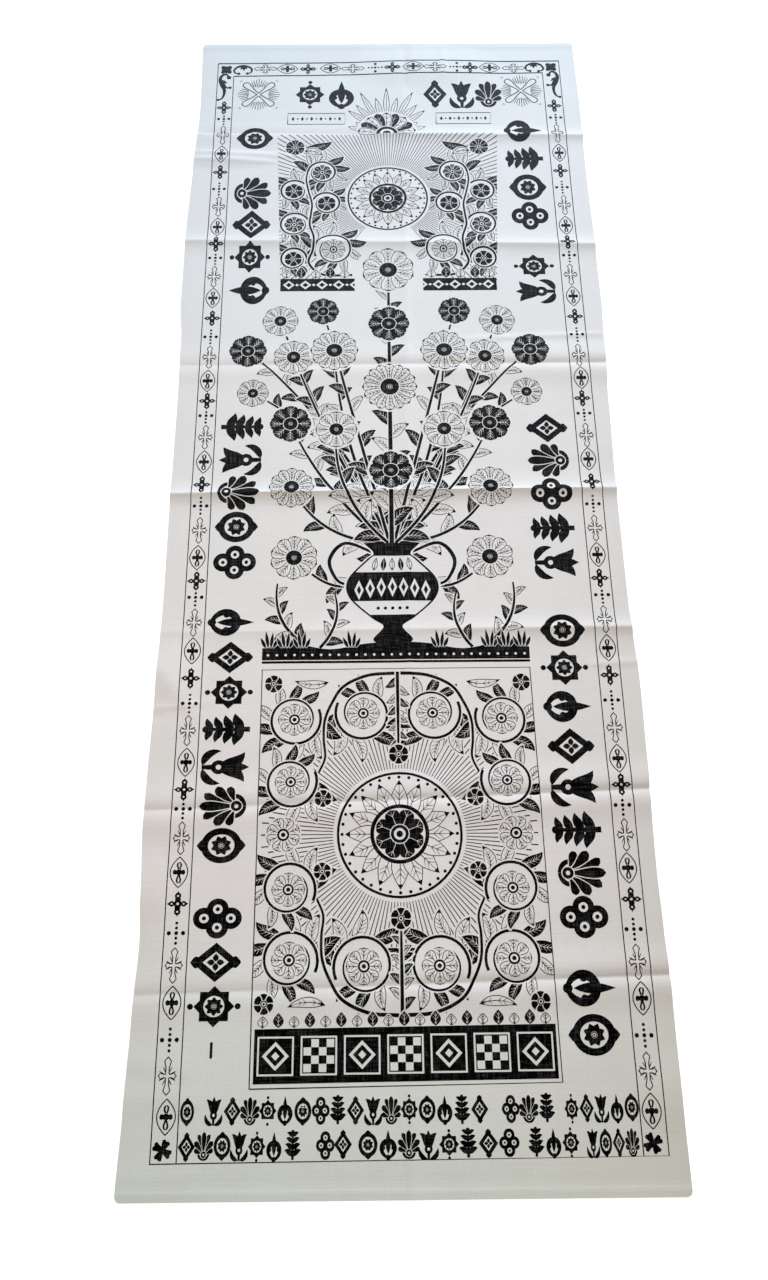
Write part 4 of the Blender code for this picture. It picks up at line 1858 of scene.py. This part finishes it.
def lay_surface(context, look):
    half = SURFACE_SIZE / 2
    mesh = bpy.data.meshes.new("pale_surface")
    corners = [(x, y, -SURFACE_DROP) for x, y in ((-half, -half), (half, -half), (half, half), (-half, half))]
    mesh.from_pydata(corners, [], [(0, 1, 2, 3)])
    mesh.materials.append(surface_material(look))
    surface = bpy.data.objects.new("pale_surface", mesh)
    context.scene.collection.objects.link(surface)


def add_area(context, lamp, power):
    """A soft rectangular light that faces its target."""
    light = bpy.data.lights.new(lamp.name, "AREA")
    light.shape = "RECTANGLE"
    light.size, light.size_y = lamp.size
    light.energy = power
    light.color = lamp.colour
    holder = bpy.data.objects.new(lamp.name, light)
    holder.location = lamp.place
    holder.rotation_euler = (Vector(lamp.target) - Vector(lamp.place)).to_track_quat("-Z", "Y").to_euler()
    context.scene.collection.objects.link(holder)


def add_camera(context, lens):
    camera = bpy.data.cameras.new("camera")
    camera.sensor_fit = "VERTICAL"
    camera.sensor_height = SENSOR_HEIGHT
    camera.lens = lens
    camera.clip_start = 0.05
    camera.clip_end = 50.0
    holder = bpy.data.objects.new("camera", camera)
    holder.location = CAMERA_PLACE
    holder.rotation_euler = [math.radians(angle) for angle in CAMERA_ANGLES]
    context.scene.collection.objects.link(holder)
    context.scene.camera = holder


def add_world(scene):
    world = bpy.data.worlds.new("soft_world")
    world.use_nodes = True
    background = world.node_tree.nodes["Background"]
    background.inputs["Color"].default_value = WORLD_COLOUR
    background.inputs["Strength"].default_value = WORLD_STRENGTH
    scene.world = world


class SHROUD_PT_panel(bpy.types.Panel):
    """The steps of the shroud, in the sidebar"""

    bl_idname = "SHROUD_PT_panel"
    bl_label = "Burial Shroud"
    bl_space_type = "VIEW_3D"
    bl_region_type = "UI"
    bl_category = "Shroud"

    def draw(self, context):
        for step in STEPS:
            self.layout.operator(step.bl_idname)
        for look in ("shroud_cloth_look", "shroud_print_look", "shroud_stage_look"):
            box = self.layout.box()
            settings = getattr(context.scene, look)
            for name in settings.__annotations__:
                box.prop(settings, name)


STEPS = (
    SHROUD_OT_set_stage,
    SHROUD_OT_lay_cloth,
    SHROUD_OT_print_border,
    SHROUD_OT_print_ornaments,
    SHROUD_OT_print_top_panel,
    SHROUD_OT_print_middle_panel,
    SHROUD_OT_print_bottom_panel,
)
LOOKS = {
    "shroud_cloth_look": ShroudClothLook,
    "shroud_print_look": ShroudPrintLook,
    "shroud_stage_look": ShroudStageLook,
}


def register():
    for item in (*LOOKS.values(), *STEPS, SHROUD_PT_panel):
        bpy.utils.register_class(item)
    for name, look in LOOKS.items():
        setattr(bpy.types.Scene, name, PointerProperty(type=look))


def unregister():
    for name in LOOKS:
        delattr(bpy.types.Scene, name)
    for item in reversed((*LOOKS.values(), *STEPS, SHROUD_PT_panel)):
        bpy.utils.unregister_class(item)


def main():
    register()
    for step in STEPS:
        family, name = step.bl_idname.split(".")
        getattr(getattr(bpy.ops, family), name)()


if __name__ == "__main__":
    main()
